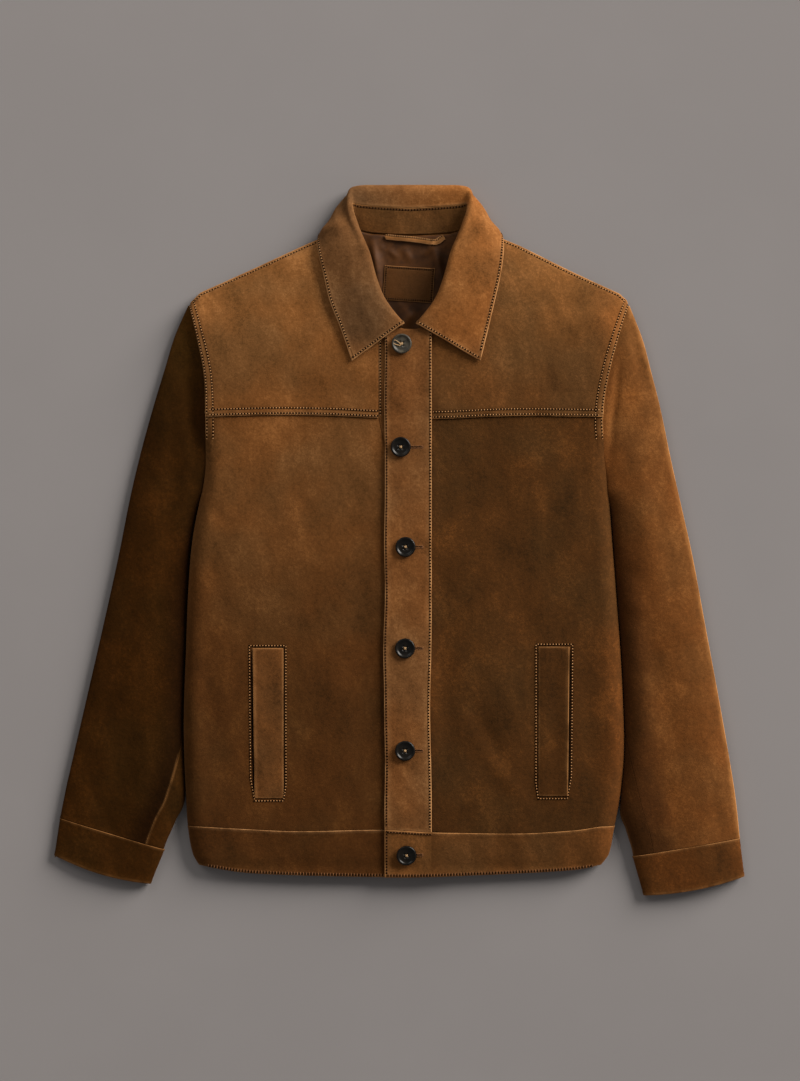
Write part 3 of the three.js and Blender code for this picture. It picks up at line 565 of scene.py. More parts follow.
@dataclass
class Panel:
    """A piece of cloth made from a grid on a surface.

    Attributes:
        name: the piece's name.
        surface: its outer face, for u and v from 0 to 1, in millimetres.
        thick: its thickness.
        edges: the finish of each side that has one.
        step: the size of its grid's cells.
        flip: whether the outer face is turned round.
        ring: whether u = 1 meets u = 0.
        plan: whether distances are measured in plan, as on a surface that is nearly level.
    """

    name: str
    surface: Surface
    thick: float = SUEDE_THICK
    edges: dict[Side, Edge] = field(default_factory=dict)
    step: float = 2.6
    flip: bool = False
    ring: bool = False
    plan: bool = True

    def edge(self, side: Side) -> Edge:
        """The finish of a side."""
        return self.edges.get(side, PLAIN)

    def measure(self, points: Array) -> Array:
        """The coordinates that distances are measured in."""
        return points[..., :2] if self.plan else points

    def size(self) -> tuple[float, float]:
        """The panel's mean width and length.

        Returns:
            The width and the length.
        """
        t = np.linspace(0, 1, 41)
        u, v = np.meshgrid(t, t)
        points = self.measure(self.surface(u.ravel(), v.ravel()).reshape(41, 41, 3))
        return lengths(points)[:, -1].mean(), lengths(np.swapaxes(points, 0, 1))[:, -1].mean()

    def stations(self, size: float, low: Edge, high: Edge) -> Array:
        """Places of the grid's lines across one direction, from 0 to 1.

        Args:
            size: the length in that direction.
            low: the finish of the side at 0.
            high: the finish of the side at 1.

        Returns:
            Places, crowded where an edge is rounded, folded or stitched.
        """
        near = []
        for edge in (low, high):
            marks = [0.0]
            if edge.roll:
                marks += [edge.roll * s for s in (0.05, 0.2, 0.45, 0.75, 1.1)]
            if edge.fold:
                marks += [0.11 * k * k for k in range(1, 6)]
            for row in edge.rows:
                marks += [row + s for s in (-1.1, -0.5, 0, 0.5, 1.1)]
            if edge.rise:
                marks += [edge.reach * s for s in (0.6, 0.8, 1.0)]
            near.append(sorted(m for m in marks if m >= 0))
        first, last = near[0][-1], size - near[1][-1]
        count = max(1, round((last - first) / self.step))
        places = near[0] + list(np.linspace(first, last, count + 1)[1:-1]) + [size - m for m in near[1]]
        places = np.unique(np.round(np.array(places), 3))
        keep = np.concatenate([[True], np.diff(places) > 0.06])
        kept = places[keep]
        return (kept if kept[-1] == places[-1] else np.append(kept, size)) / size

    def distances(self, base: Array) -> dict[Side, Array]:
        """Distances of a grid's points from each side.

        Args:
            base: the grid's points.

        Returns:
            The distances, for each side.
        """
        flat = self.measure(base)
        across = lengths(flat)
        up = np.swapaxes(lengths(np.swapaxes(flat, 0, 1)), 0, 1)
        return {Side.U0: across, Side.U1: across[:, -1:] - across, Side.V0: up, Side.V1: up[-1:] - up}

    def weight(self, side: Side, u: Array, v: Array) -> Array:
        """How much of a side's finish is there, by its span.

        Args:
            side: the side.
            u: shares across.
            v: shares along.

        Returns:
            1 inside the span and 0 outside it.
        """
        start, end = self.edge(side).span
        t = side.along(u, v)
        return smooth(start - 0.03, start + 0.03, t) * (1 - smooth(end - 0.03, end + 0.03, t))

    def lift(self, away: dict[Side, Array], u: Array, v: Array) -> Array:
        """How far the finished edges move the surface outwards.

        Args:
            away: distances from each side.
            u: shares across.
            v: shares along.

        Returns:
            The heights to add.
        """
        total = np.zeros(u.shape)
        for side, edge in self.edges.items():
            d, here = away[side], self.weight(side, u, v)
            seam = edge.rise * (1 - smooth(edge.reach * 0.6, edge.reach, d))
            for row in edge.rows:
                seam = seam - ROW_DEPTH * np.exp(-(((d - row) / ROW_WIDTH) ** 2))
            total += seam * here
            if edge.roll:
                total -= edge.roll * (1 - round_rise(d / edge.roll))
        return total

    def build(self, trims: tuple[bpy.types.Object, ...] | None = ()) -> bpy.types.Object:
        """Makes the panel's object, with its edge and row distances as attributes.

        Args:
            trims: small pieces that are sewn on it; None for such a piece itself.

        Returns:
            The object.
        """
        wide, long = self.size()
        us = self.stations(wide, self.edge(Side.U0), self.edge(Side.U1))
        vs = self.stations(long, self.edge(Side.V0), self.edge(Side.V1))
        bm = bmesh.new()
        bmesh.ops.create_grid(bm, x_segments=len(us) - 1, y_segments=len(vs) - 1, size=1)
        place = np.array([v.co[:2] for v in bm.verts])
        i = np.rint((place[:, 0] + 1) / 2 * (len(us) - 1)).astype(int)
        j = np.rint((place[:, 1] + 1) / 2 * (len(vs) - 1)).astype(int)
        u, v = np.meshgrid(us, vs)
        base = self.surface(u.ravel(), v.ravel()).reshape(*u.shape, 3)
        away = self.distances(base)
        normal = np.cross(np.gradient(base, axis=1), np.gradient(base, axis=0))
        normal = unit(normal) * (-1 if self.flip else 1)
        if self.ring:
            normal[:, 0] = normal[:, -1] = unit(normal[:, 0] + normal[:, -1])
        points = base + normal * self.lift(away, u, v)[..., None]
        points[..., 2] = np.maximum(points[..., 2], 0.0)
        for vertex, p in zip(bm.verts, points[j, i] * MM):
            vertex.co = p
        if self.flip:
            bmesh.ops.reverse_faces(bm, faces=bm.faces)
        for label, near in zip(("edge", "row", "painted_shade"), self.marks(away, u, v)):
            layer = bm.verts.layers.float.new(label)
            for vertex, value in zip(bm.verts, near[j, i]):
                vertex[layer] = value
        if self.ring:
            bmesh.ops.remove_doubles(bm, verts=bm.verts, dist=1e-6)
        for face in bm.faces:
            face.smooth = True
        made = object_from(bm, self.name)
        wall = made.modifiers.new("wall", "SOLIDIFY")
        wall.thickness = self.thick * MM
        wall.offset = -1
        if trims is not None:
            self.declare(points, trims)
        return made

    def marks(self, away: dict[Side, Array], u: Array, v: Array) -> tuple[Array, Array, Array]:
        """How far each point is from a rubbed edge, from a row of stitches and from an edge with painted
        shade.

        Args:
            away: distances from each side.
            u: shares across.
            v: shares along.

        Returns:
            The three distances.
        """
        near_edge, near_row, near_shade = (np.full(u.shape, FAR) for _ in range(3))
        for side, edge in self.edges.items():
            here = self.weight(side, u, v)
            if edge.shaded:
                clean = 1 - smooth(edge.shaded_from - 0.15, edge.shaded_from + 0.2, side.along(u, v))
                near_shade = np.minimum(near_shade, away[side] / edge.shaded + clean)
            if edge.rubbed:
                near_edge = np.minimum(near_edge, away[side] / edge.rubbed + OFF_SPAN * (1 - here))
            for row in edge.rows:
                near_row = np.minimum(near_row, np.abs(away[side] - row) + OFF_SPAN * (1 - here))
        return near_edge, near_row, near_shade

    def declare(self, points: Array, trims: tuple) -> None:
        """Logs the piece's cut: its width, its length and its area.

        Args:
            points: its grid's points.
            trims: small pieces that are sewn on it; not used.
        """
        wide = lengths(points)[:, -1].max() * MM
        long = lengths(np.swapaxes(points, 0, 1))[:, -1].max() * MM
        a, b = np.diff(points[:-1], axis=1), np.diff(points[:, :-1], axis=0)
        area = float(np.linalg.norm(np.cross(a, b), axis=-1).sum()) * MM * MM
        area = min(area, wide * long)
        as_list(trims)
        log.info("%s: cut %.0f by %.0f mm, %.4f m2", self.name, wide / MM, long / MM, area)

    def row(self, side: Side, offset: float, start: float = 0.0, end: float = 1.0) -> "Row":
        """A row of stitches at an offset from a side, between two shares of it.

        Args:
            side: the side.
            offset: how far in the row runs.
            start: the share of the side where it starts.
            end: the share of the side where it ends.

        Returns:
            The row.
        """
        t = np.linspace(start, end, 400)
        probe = np.linspace(0, min(1.0, (offset + 12) / min(self.size())), 60)
        u_grid, t_grid = np.meshgrid(probe, t)
        u, v = self.across(side, u_grid, t_grid)
        points = self.measure(self.surface(u.ravel(), v.ravel()).reshape(*u.shape, 3))
        measured = lengths(points)
        share = np.array([np.interp(offset, line, probe) for line in measured])
        u, v = self.across(side, share, t)
        base, normal = self.frame_at(u, v)
        away = {s: np.full(u.shape, FAR) for s in Side}
        away[side] = np.full(u.shape, offset)
        lifted = base + normal * self.lift(away, u, v)[:, None]
        lifted[:, 2] = np.maximum(lifted[:, 2], BEAD_FLOOR)
        return Row(lifted, normal)

    @staticmethod
    def across(side: Side, inwards: Array, t: Array) -> tuple[Array, Array]:
        """u and v for a share inwards from a side and a share along it.

        Args:
            side: the side.
            inwards: shares inwards from it.
            t: shares along it.

        Returns:
            u and v.
        """
        if side in (Side.U1, Side.V1):
            inwards = 1 - inwards
        return side.along(t, inwards), side.along(inwards, t)

    def frame_at(self, u: Array, v: Array) -> tuple[Array, Array]:
        """Points of the surface and the way out of it.

        Args:
            u: shares across.
            v: shares along.

        Returns:
            The points, and the ways out at them.
        """
        h = 2e-3
        base = self.surface(u, v)
        du = self.surface(clamp01(u + h), v) - self.surface(clamp01(u - h), v)
        dv = self.surface(u, clamp01(v + h)) - self.surface(u, clamp01(v - h))
        return base, unit(np.cross(du, dv)) * (-1 if self.flip else 1)


@dataclass
class Row:
    """A line on the cloth that stitches follow."""

    points: Array
    normals: Array

    def raised(self, height: float) -> "Row":
        """The same line, a little further out."""
        return Row(self.points + self.normals * height, self.normals)

    def places(self, pitch: float) -> tuple[Array, Array, Array]:
        """Middles, directions and ways out of the stitches, a pitch apart.

        Args:
            pitch: the distance from stitch to stitch.

        Returns:
            The middles, the directions and the ways out.
        """
        measured = lengths(self.points)
        count = max(1, int(measured[-1] / pitch))
        at = (np.arange(count) + 0.5) * measured[-1] / count
        ahead = sample(self.points, measured, at + 0.5) - sample(self.points, measured, at - 0.5)
        return (sample(self.points, measured, at), unit(ahead),
                unit(sample(self.normals, measured, at)))


def placed(name: str, data: bpy.types.ID) -> bpy.types.Object:
    """Puts a mesh, lamp or camera into the scene.

    Args:
        name: the object's name.
        data: what it holds.

    Returns:
        The object.
    """
    made = bpy.data.objects.new(name, data)
    bpy.context.scene.collection.objects.link(made)
    return made


def object_from(bm: bmesh.types.BMesh, name: str) -> bpy.types.Object:
    """Turns a bmesh into an object of the scene.

    Args:
        bm: the bmesh, which is used up.
        name: the object's name.

    Returns:
        The object.
    """
    mesh = bpy.data.meshes.new(name)
    bm.to_mesh(mesh)
    bm.free()
    return placed(name, mesh)


def dress(made: bpy.types.Object, finish: bpy.types.Material, *nodes: str,
          slot: str = "suede") -> bpy.types.Object:
    """Gives a piece its finish, attaches it to the jacket's body and hides the solids that it stands for.

    Args:
        made: the piece.
        finish: its material.
        nodes: the solids that the piece replaces.
        slot: a material slot's name; not used.

    Returns:
        The piece.
    """
    made.data.materials.clear()
    made.data.materials.append(finish)
    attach(made, BODY)
    if nodes:
        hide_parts(*nodes)
    log.info("%s: %d faces", made.name, len(made.data.polygons))
    return made


# ---- Stitches ----
@dataclass
class Sewing:
    """Rows of stitches that are joined into one piece, with dark beads of painted shade in the needle holes
    between them.
    """

    name: str
    thread: bpy.types.Material
    hole: bpy.types.Material
    rows: list[tuple[Row, float]] = field(default_factory=list)
    others: dict[str, "Sewing"] = field(default_factory=dict)
    length: float = 1.75
    width: float = 1.15
    hole_long: float = 1.8
    hole_wide: float = 2.3
    thread_out: float = 0.42
    thread_high: float = 0.4
    hole_out: float = 0.58
    hole_high: float = 0.25

    def add(self, row: Row, pitch: float = STITCH_PITCH, kind: str = "") -> None:
        """Adds a row, sewn in this way or in another kind."""
        self.others.get(kind, self).rows.append((row, pitch))

    def build(self) -> None:
        """Makes the threads and the holes."""
        threads, holes = [], []
        for row, pitch in self.rows:
            middle, ahead, out = row.places(pitch)
            aside = unit(np.cross(out, ahead))
            stretch = self.length * pitch / STITCH_PITCH
            threads.append((middle + out * self.thread_out, ahead * stretch / 2,
                            aside * self.width / 2, out * self.thread_high))
            # dark beads of painted shade, where the needle holes are
            at = middle + ahead * pitch / 2 + out * self.hole_out
            long, wide = self.hole_long / 2 * pitch / STITCH_PITCH, self.hole_wide / 2
            holes.append((at, ahead * long, aside * wide, out * self.hole_high))
        dress(scatter(self.name, threads), self.thread, slot="thread")
        dress(scatter(self.name.replace("stitches", "needle_hole_shades"), holes), self.hole)
        for other in self.others.values():
            other.build()


def scatter(name: str, groups: list[tuple[Array, Array, Array, Array]]) -> bpy.types.Object:
    """Many small closed beads, joined into one mesh.

    Args:
        name: the piece's name.
        groups: for some beads each, their middles and three half axes.

    Returns:
        The piece.
    """
    bm = bmesh.new()
    bmesh.ops.create_uvsphere(bm, u_segments=6, v_segments=4, radius=1)
    bm.verts.ensure_lookup_table()
    bead = np.array([v.co[:] for v in bm.verts])
    faces = [[v.index for v in f.verts] for f in bm.faces]
    bm.free()
    middle, x, y, z = (np.concatenate([g[k] for g in groups]) for k in range(4))
    points = middle[:, None] + sum(bead[None, :, k, None] * axis[:, None]
                                   for k, axis in enumerate((x, y, z)))
    mesh = bpy.data.meshes.new(name)
    polygons = [[i + n * len(bead) for i in face] for n in range(len(middle)) for face in faces]
    mesh.from_pydata((points.reshape(-1, 3) * MM).tolist(), [], polygons)
    mesh.shade_smooth()
    return placed(name, mesh)


# ---- Looks ----
# What the suede's colour is multiplied by, in linear red, green and blue.
WARMER = (1.05, 0.98, 0.88)
COOLER = (0.95, 1.0, 1.07)
# darker towards the hem: partly the hide's own tone, partly painted shade where the light falls off
HEM_SHADE_AND_TONE = (0.43, 0.39, 0.28)  # towards the hem
# painted light towards the shoulders and the sleeves' caps, which face the lamp
TOP_LIGHT = (2.2, 2.45, 2.9)  # towards the shoulders
# painted shade, also greyer, on the collar's right leaf, which faces away from the lamp
SHADED_LEAF = (0.6, 0.66, 0.76)  # the collar's right leaf
# painted light, warmer, on the collar's left leaf, which faces the lamp
LIT_LEAF = (1.04, 0.94, 0.76)  # the collar's left leaf
# painted light beside the left side fold, which faces the lamp
LIT_SIDE = (1.42, 1.26, 1.14)  # beside the left side fold
LAPPED = (1.36, 1.4, 1.5)  # the hem band's lapping end
# painted shade on the sleeves' inner parts, beside the body
SLEEVE_SHADE = (0.4, 0.37, 0.3)
CLOUD_WAYS = ((0.96, 0.27, 0.0), (0.14, -0.5, 0.0))  # the clouds are drawn out along the second


def paint(red: int, green: int, blue: int) -> tuple[float, float, float, float]:
    """A colour given as 0 to 255 for the screen, in the linear values that shaders take.

    Args:
        red: red, from 0 to 255.
        green: green.
        blue: blue.

    Returns:
        The colour, with an alpha of 1.
    """
    def linear(c: float) -> float:
        """One channel without its screen curve."""
        return c / 12.92 if c <= 0.04045 else ((c + 0.055) / 1.055) ** 2.4
    return (*(linear(c / 255) for c in (red, green, blue)), 1.0)


class Nodes:
    """Adds nodes to a tree and wires them."""

    def __init__(self, tree: bpy.types.NodeTree) -> None:
        """Keeps the tree, emptied."""
        self.tree = tree
        tree.nodes.clear()

    def add(self, kind: str, inputs: dict | None = None, **settings: object) -> bpy.types.Node:
        """Adds a node.

        Args:
            kind: the node's type, without its ShaderNode prefix.
            inputs: values or output sockets, by the input's name or number.
            settings: the node's own settings.

        Returns:
            The node.
        """
        prefix = "" if kind.startswith("Node") else "ShaderNode"
        node = self.tree.nodes.new(prefix + kind)
        for name, value in settings.items():
            setattr(node, name, value)
        for name, value in (inputs or {}).items():
            if isinstance(value, bpy.types.NodeSocket):
                self.tree.links.new(value, node.inputs[name])
            else:
                node.inputs[name].default_value = value
        return node

    def math(self, operation: str, *values: object) -> Socket:
        """The result of a sum on values or sockets."""
        return self.add("Math", dict(enumerate(values)), operation=operation).outputs[0]

    def vector(self, operation: str, first: object, second: object) -> Socket:
        """The result of a sum on two vectors or sockets."""
        node = self.add("VectorMath", {0: first, 1: second}, operation=operation)
        return node.outputs["Value" if operation == "DOT_PRODUCT" else "Vector"]

    def noise(self, place: Socket, scale: float, detail: float, rough: float) -> Socket:
        """Soft noise between 0 and 1, with scale in waves a metre."""
        inputs = {"Vector": place, "Scale": scale, "Detail": detail, "Roughness": rough}
        return self.add("TexNoise", inputs, normalize=True).outputs[0]

    def spread(self, value: object, low: float, high: float, to_low: float = 0,
               to_high: float = 1) -> Socket:
        """A value stretched softly from one range to another, held inside it."""
        return self.add("MapRange", {0: value, 1: low, 2: high, 3: to_low, 4: to_high},
                        interpolation_type="SMOOTHSTEP").outputs[0]

    def blend(self, share: object, first: object, second: object, mode: str = "MIX") -> Socket:
        """Two colours blended."""
        node = self.add("Mix", {0: share, 6: first, 7: second}, data_type="RGBA", blend_type=mode)
        return node.outputs[2]

    def times(self, base: Socket, tint: tuple) -> Socket:
        """A colour multiplied by a tint."""
        return self.blend(1.0, base, (*tint, 1.0), "MULTIPLY")

    def tinted(self, share: object, base: Socket, tint: tuple) -> Socket:
        """A colour multiplied by a tint as far as a share says."""
        return self.blend(share, base, self.times(base, tint))

    def swing(self, noise: Socket, weight: float) -> Socket:
        """How far a noise is from its middle, weighted."""
        return self.math("MULTIPLY", self.math("SUBTRACT", noise, 0.5), weight)


def group(name: str, inputs: dict[str, tuple], outputs: dict[str, str]) -> tuple:
    """A new node group with its sockets.

    Args:
        name: the group's name.
        inputs: for each input, its socket type and default value.
        outputs: for each output, its socket type.

    Returns:
        The group, its nodes, and the sockets that bring its inputs.
    """
    tree = bpy.data.node_groups.new(name, "ShaderNodeTree")
    for label, (kind, value) in inputs.items():
        socket = tree.interface.new_socket(label, in_out="INPUT", socket_type=kind)
        if value is not None:
            socket.default_value = value
    for label, kind in outputs.items():
        tree.interface.new_socket(label, in_out="OUTPUT", socket_type=kind)
    nodes = Nodes(tree)
    given = nodes.add("NodeGroupInput").outputs
    return tree, nodes, given


def suede_group() -> bpy.types.NodeTree:
    """The shared look of suede: cloudy patches, small spots, nap and rubbed edges, with painted shade in its
    stitch rows and painted light and shade that change with place.

    Returns:
        The node group.
    """
    colour, value = "NodeSocketColor", "NodeSocketFloat"
    tree, n, given = group(
        "Suede",
        {"Dark": (colour, None), "Middle": (colour, None), "Light": (colour, None),
         "Rubbed": (colour, None), "Patchy": (value, 1.0), "Shift": (value, 0.0), "Nap": (value, 1.0),
         "Fade": (value, 0.0), "TopLight": (value, 1.0), "Split": (value, 0.0),
         "LitSideAndLap": (value, 0.0)},
        {"Color": colour, "Roughness": value, "Normal": "NodeSocketVector"},
    )
    place = n.add("TexCoord").outputs["Object"]
    shift = n.add("CombineXYZ", dict.fromkeys(range(3), given["Shift"])).outputs[0]
    at = n.vector("ADD", place, shift)
    warp = n.add("TexNoise", {"Vector": at, "Scale": 14.0, "Detail": 2.0}).outputs[1]
    cloud_at = n.vector("ADD", at, n.vector("MULTIPLY", warp, (0.03, 0.03, 0.03)))
    across, upwards = (n.vector("DOT_PRODUCT", cloud_at, way) for way in CLOUD_WAYS)
    height = n.add("SeparateXYZ", {0: cloud_at}).outputs[2]
    cloud_at = n.add("CombineXYZ", {0: across, 1: upwards, 2: height}).outputs[0]
    clouds = n.noise(cloud_at, 19.0, 4.0, 0.62)
    blotches = n.noise(cloud_at, 55.0, 4.0, 0.6)
    spots = n.noise(at, 260.0, 3.0, 0.65)
    nap = n.noise(at, 640.0, 3.0, 0.85)
    tone = n.math("ADD", n.swing(clouds, 0.9), n.swing(blotches, 0.65))
    tone = n.math("MULTIPLY", n.math("ADD", tone, n.swing(spots, 0.6)), given["Patchy"])
    tone = n.math("ADD", tone, n.swing(nap, 0.75))
    base = n.blend(n.spread(tone, -0.42, 0.06), given["Dark"], given["Middle"])
    base = n.blend(n.spread(tone, -0.02, 0.44), base, given["Light"])
    hue = n.noise(n.vector("ADD", at, (3.1, 1.7, 0.4)), 11.0, 3.0, 0.55)
    base = n.blend(n.spread(hue, 0.36, 0.64), n.times(base, COOLER), n.times(base, WARMER))
    x, y = n.add("SeparateXYZ", {0: place}).outputs[:2]
    # painted shade towards the hem, with some of the hide's own darker tone
    hem_shade_and_tone = n.math("MULTIPLY", n.spread(y, -0.2, 0.14, 1.0, 0.0), given["Fade"])
    base = n.tinted(hem_shade_and_tone, base, HEM_SHADE_AND_TONE)
    # painted light on the upper parts, where the lamp lights the shoulders
    base = n.tinted(n.math("MULTIPLY", n.spread(y, 0.13, 0.29), given["TopLight"]), base, TOP_LIGHT)
    # painted light and shade on the collar: its left leaf lit, its right leaf shaded
    split = n.math("MULTIPLY", given["Split"], n.spread(y, 0.186, 0.226))
    lit_and_shaded_leaves = n.blend(n.spread(x, -0.04, 0.07), n.times(base, SHADED_LEAF), n.times(base, LIT_LEAF))
    base = n.blend(split, base, lit_and_shaded_leaves)
    # painted light beside the left side fold, towards the hem and the shoulder, where it faces the lamp
    ends = n.math("MAXIMUM", n.spread(y, -0.2, -0.02, 1.0, 0.0), n.spread(y, 0.1, 0.2))
    side = n.math("MULTIPLY", n.spread(x, 0.198, 0.238), given["LitSideAndLap"])
    base = n.tinted(n.math("MULTIPLY", ends, side), base, LIT_SIDE)
    # the same input gives the hem band's lapping end its own lighter colour
    lapped = n.math("MULTIPLY", n.spread(x, 0.034, 0.0355, 1.0, 0.0),
                    n.spread(y, -0.314, -0.31, 1.0, 0.0))
    base = n.tinted(n.math("MULTIPLY", lapped, given["LitSideAndLap"]), base, LAPPED)
    # painted shade on the sleeves' inner parts beside the body
    painted_shade = n.spread(n.add("Attribute", attribute_name="painted_shade").outputs["Fac"], 0.1, 1.0, 1.0, 0.0)
    base = n.tinted(painted_shade, base, SLEEVE_SHADE)
    edge = n.add("Attribute", attribute_name="edge").outputs["Fac"]
    row = n.add("Attribute", attribute_name="row").outputs["Fac"]
    uneven = n.spread(blotches, 0.36, 0.6, 0.35, 1.0)
    rub = n.math("MULTIPLY", n.spread(edge, 0.4, 1.7, 0.9, 0.0), uneven)
    rub = n.math("MAXIMUM", rub, n.math("MULTIPLY", n.spread(edge, 1.5, 9.0, 0.2, 0.0), uneven))
    base = n.blend(rub, base, given["Rubbed"])
    # painted shade in the grooves of the stitch rows, in the dye's darkest colour
    pit = n.spread(row, 0.3, 1.5, 0.42, 0.0)
    base = n.blend(pit, base, given["Dark"])
    rough = n.spread(tone, -0.5, 0.5, 0.96, 0.86)
    bump = n.math("ADD", n.math("MULTIPLY", nap, 0.45), n.math("MULTIPLY", spots, 1.0))
    bump = n.math("MULTIPLY", bump, given["Nap"])
    normal = n.add("Bump", {"Height": bump, "Strength": 0.5, "Distance": 0.0006}).outputs[0]
    n.add("NodeGroupOutput", {"Color": base, "Roughness": rough, "Normal": normal})
    return tree


@dataclass(frozen=True)
class Suede:
    """One dye of the suede, by its darkest, middle and lightest mottled colours and its colour where rubbed;
    the darkest also paints shade into the stitch rows.
    """

    name: str
    dark: tuple[int, int, int]
    middle: tuple[int, int, int]
    light: tuple[int, int, int]
    rubbed: tuple[int, int, int]
    patchy: float = 1.0
    shift: float = 0.0
    nap: float = 1.0
    # how far the colour darkens towards the hem, partly painted shade
    fade: float = 0.0
    # how strong the painted light towards the shoulders is
    toplight: float = 1.0
    # whether the collar's leaves get painted light and shade
    split: float = 0.0
    # whether the left side fold gets painted light and the hem band's lapping end its lighter colour
    litsideandlap: float = 0.0
    sheen: float = 0.22
    specular: float = 0.07

    def material(self, shared: bpy.types.NodeTree) -> bpy.types.Material:
        """The suede's material, made with the shared group.

        Args:
            shared: the suede's node group.

        Returns:
            The material.
        """
        made = bpy.data.materials.new(self.name)
        made.use_nodes = True
        n = Nodes(made.node_tree)
        look = n.add("Group", node_tree=shared)
        for label in ("Dark", "Middle", "Light", "Rubbed"):
            look.inputs[label].default_value = paint(*getattr(self, label.lower()))
        for label in ("Patchy", "Shift", "Nap", "Fade", "TopLight", "Split", "LitSideAndLap"):
            look.inputs[label].default_value = getattr(self, label.lower())
        shader = n.add("BsdfPrincipled", {
            "Base Color": look.outputs["Color"], "Roughness": look.outputs["Roughness"],
            "Normal": look.outputs["Normal"], "Specular IOR Level": self.specular, "Sheen Weight": self.sheen,
            "Sheen Roughness": 0.55, "Sheen Tint": paint(214, 150, 92),
        })
        n.add("OutputMaterial", {0: shader.outputs[0]})
        return made


@dataclass(frozen=True)
class Plain:
    """A simple finish with a little unevenness."""

    name: str
    first: tuple[int, int, int]
    second: tuple[int, int, int]
    roughness: float
    scale: float = 300.0
    specular: float = 0.3

    def material(self) -> bpy.types.Material:
        """The finish's material.

        Returns:
            The material.
        """
        made = bpy.data.materials.new(self.name)
        made.use_nodes = True
        n = Nodes(made.node_tree)
        place = n.add("TexCoord").outputs["Object"]
        noise = n.noise(place, self.scale, 4.0, 0.6)
        tint = n.blend(n.spread(noise, 0.35, 0.65), paint(*self.first), paint(*self.second))
        shader = n.add("BsdfPrincipled", {
            "Base Color": tint, "Roughness": self.roughness, "Specular IOR Level": self.specular,
        })
        n.add("OutputMaterial", {0: shader.outputs[0]})
        return made


class Looks:
    """Every finish that the jacket wears."""

    def __init__(self) -> None:
        """Makes the materials."""
        shared = suede_group()
        first = Suede("suede_first", (68, 42, 16), (99, 62, 29), (130, 86, 46), (176, 128, 82), fade=1.0,
                      toplight=0.36)
        second = Suede("suede_second", (46, 28, 9), (68, 41, 15), (98, 60, 25), (160, 112, 66),
                       shift=2.6, fade=0.15, toplight=0.3, sheen=0.12, litsideandlap=1.0)
        third = Suede("suede_third", (54, 32, 11), (79, 49, 21), (108, 68, 33), (172, 122, 74), shift=3.4,
                      toplight=0.6, litsideandlap=1.0)
        welt = replace(third, name="suede_welt", middle=(84, 52, 24))
        stand = replace(third, name="suede_stand", toplight=0.22)
        # a darker dye for the wearer's right sleeve and cuff: partly its own darker tone, partly painted
        # shade, as that sleeve lies away from the lamp
        dark = Suede("suede_dark_and_shaded", (31, 17, 3), (47, 26, 5), (67, 38, 10), (140, 96, 54), shift=4.1,
                     toplight=1.8, sheen=0.06, specular=0.03)
        warm = Suede("suede_warm", (66, 38, 13), (94, 55, 22), (126, 78, 36), (186, 130, 74),
                     shift=5.3, toplight=0.4)
        pale = Suede("suede_worn", (72, 44, 19), (103, 65, 33), (133, 90, 51), (184, 136, 88),
                     patchy=1.1, shift=0.7, toplight=0.0)
        leaf = replace(pale, name="suede_leaf", split=1.0, toplight=0.4)
        self.first, self.second = first.material(shared), second.material(shared)
        self.dark, self.warm = dark.material(shared), warm.material(shared)
        self.third, self.worn, self.leaf = (dye.material(shared) for dye in (third, pale, leaf))
        self.welt, self.stand = welt.material(shared), stand.material(shared)
        patch = Suede("suede_patch", (58, 36, 16), (82, 52, 26), (100, 65, 35), (160, 112, 68),
                      patchy=0.6, shift=1.9, nap=0.6, toplight=0.0)
        self.label = patch.material(shared)
        self.lining = Plain("lining_satin", (52, 29, 10), (82, 48, 18), 0.6, scale=35.0,
                            specular=0.16).material()
        self.thread = Plain("thread_brown", (160, 112, 66), (198, 148, 98), 0.8, scale=500.0).material()
        self.dull_thread = Plain("thread_dull", (86, 52, 25), (116, 74, 38), 0.85, scale=500.0).material()
        # a near black for painted shade: needle holes, the pocket's seam and mouth, and the buttonhole slits
        self.hole = Plain("painted_hole_shade", (18, 10, 4), (26, 15, 7), 1.0, specular=0.0).material()
        self.horn = Plain("button_horn", (8, 7, 6), (20, 16, 12), 0.3, scale=120.0,
                          specular=0.2).material()
        self.pale_horn = Plain("button_horn_pale", (40, 36, 29), (66, 60, 49), 0.45, scale=150.0,
                               specular=0.3).material()
        self.button_thread = Plain("thread_tan", (150, 118, 82), (188, 154, 112), 0.75,
                                   scale=900.0).material()


# ---- The body ----
class Hand(Enum):
    """The wearer's side that a piece is on."""

    RIGHT = -1
    LEFT = 1

    @property
    def word(self) -> str:
        """The side in a piece's name."""
        return self.name.lower()

    def fold(self, y: Array) -> Array:
        """x of the body's fold or armhole seam on this side."""
        return side_left(y) if self is Hand.RIGHT else side_right(y)

    def centre(self, y: Array) -> Array:
        """x where this side's front ends at its band.

        Args:
            y: y of the places.

        Returns:
            x at those places.
        """
        if self is Hand.LEFT:
            return UNDER_PLACKET[1] + GAP + 0 * np.asarray(y, float)
        return lerp(-12.5, UNDER_PLACKET[0] - GAP, smooth(84, 136, y))


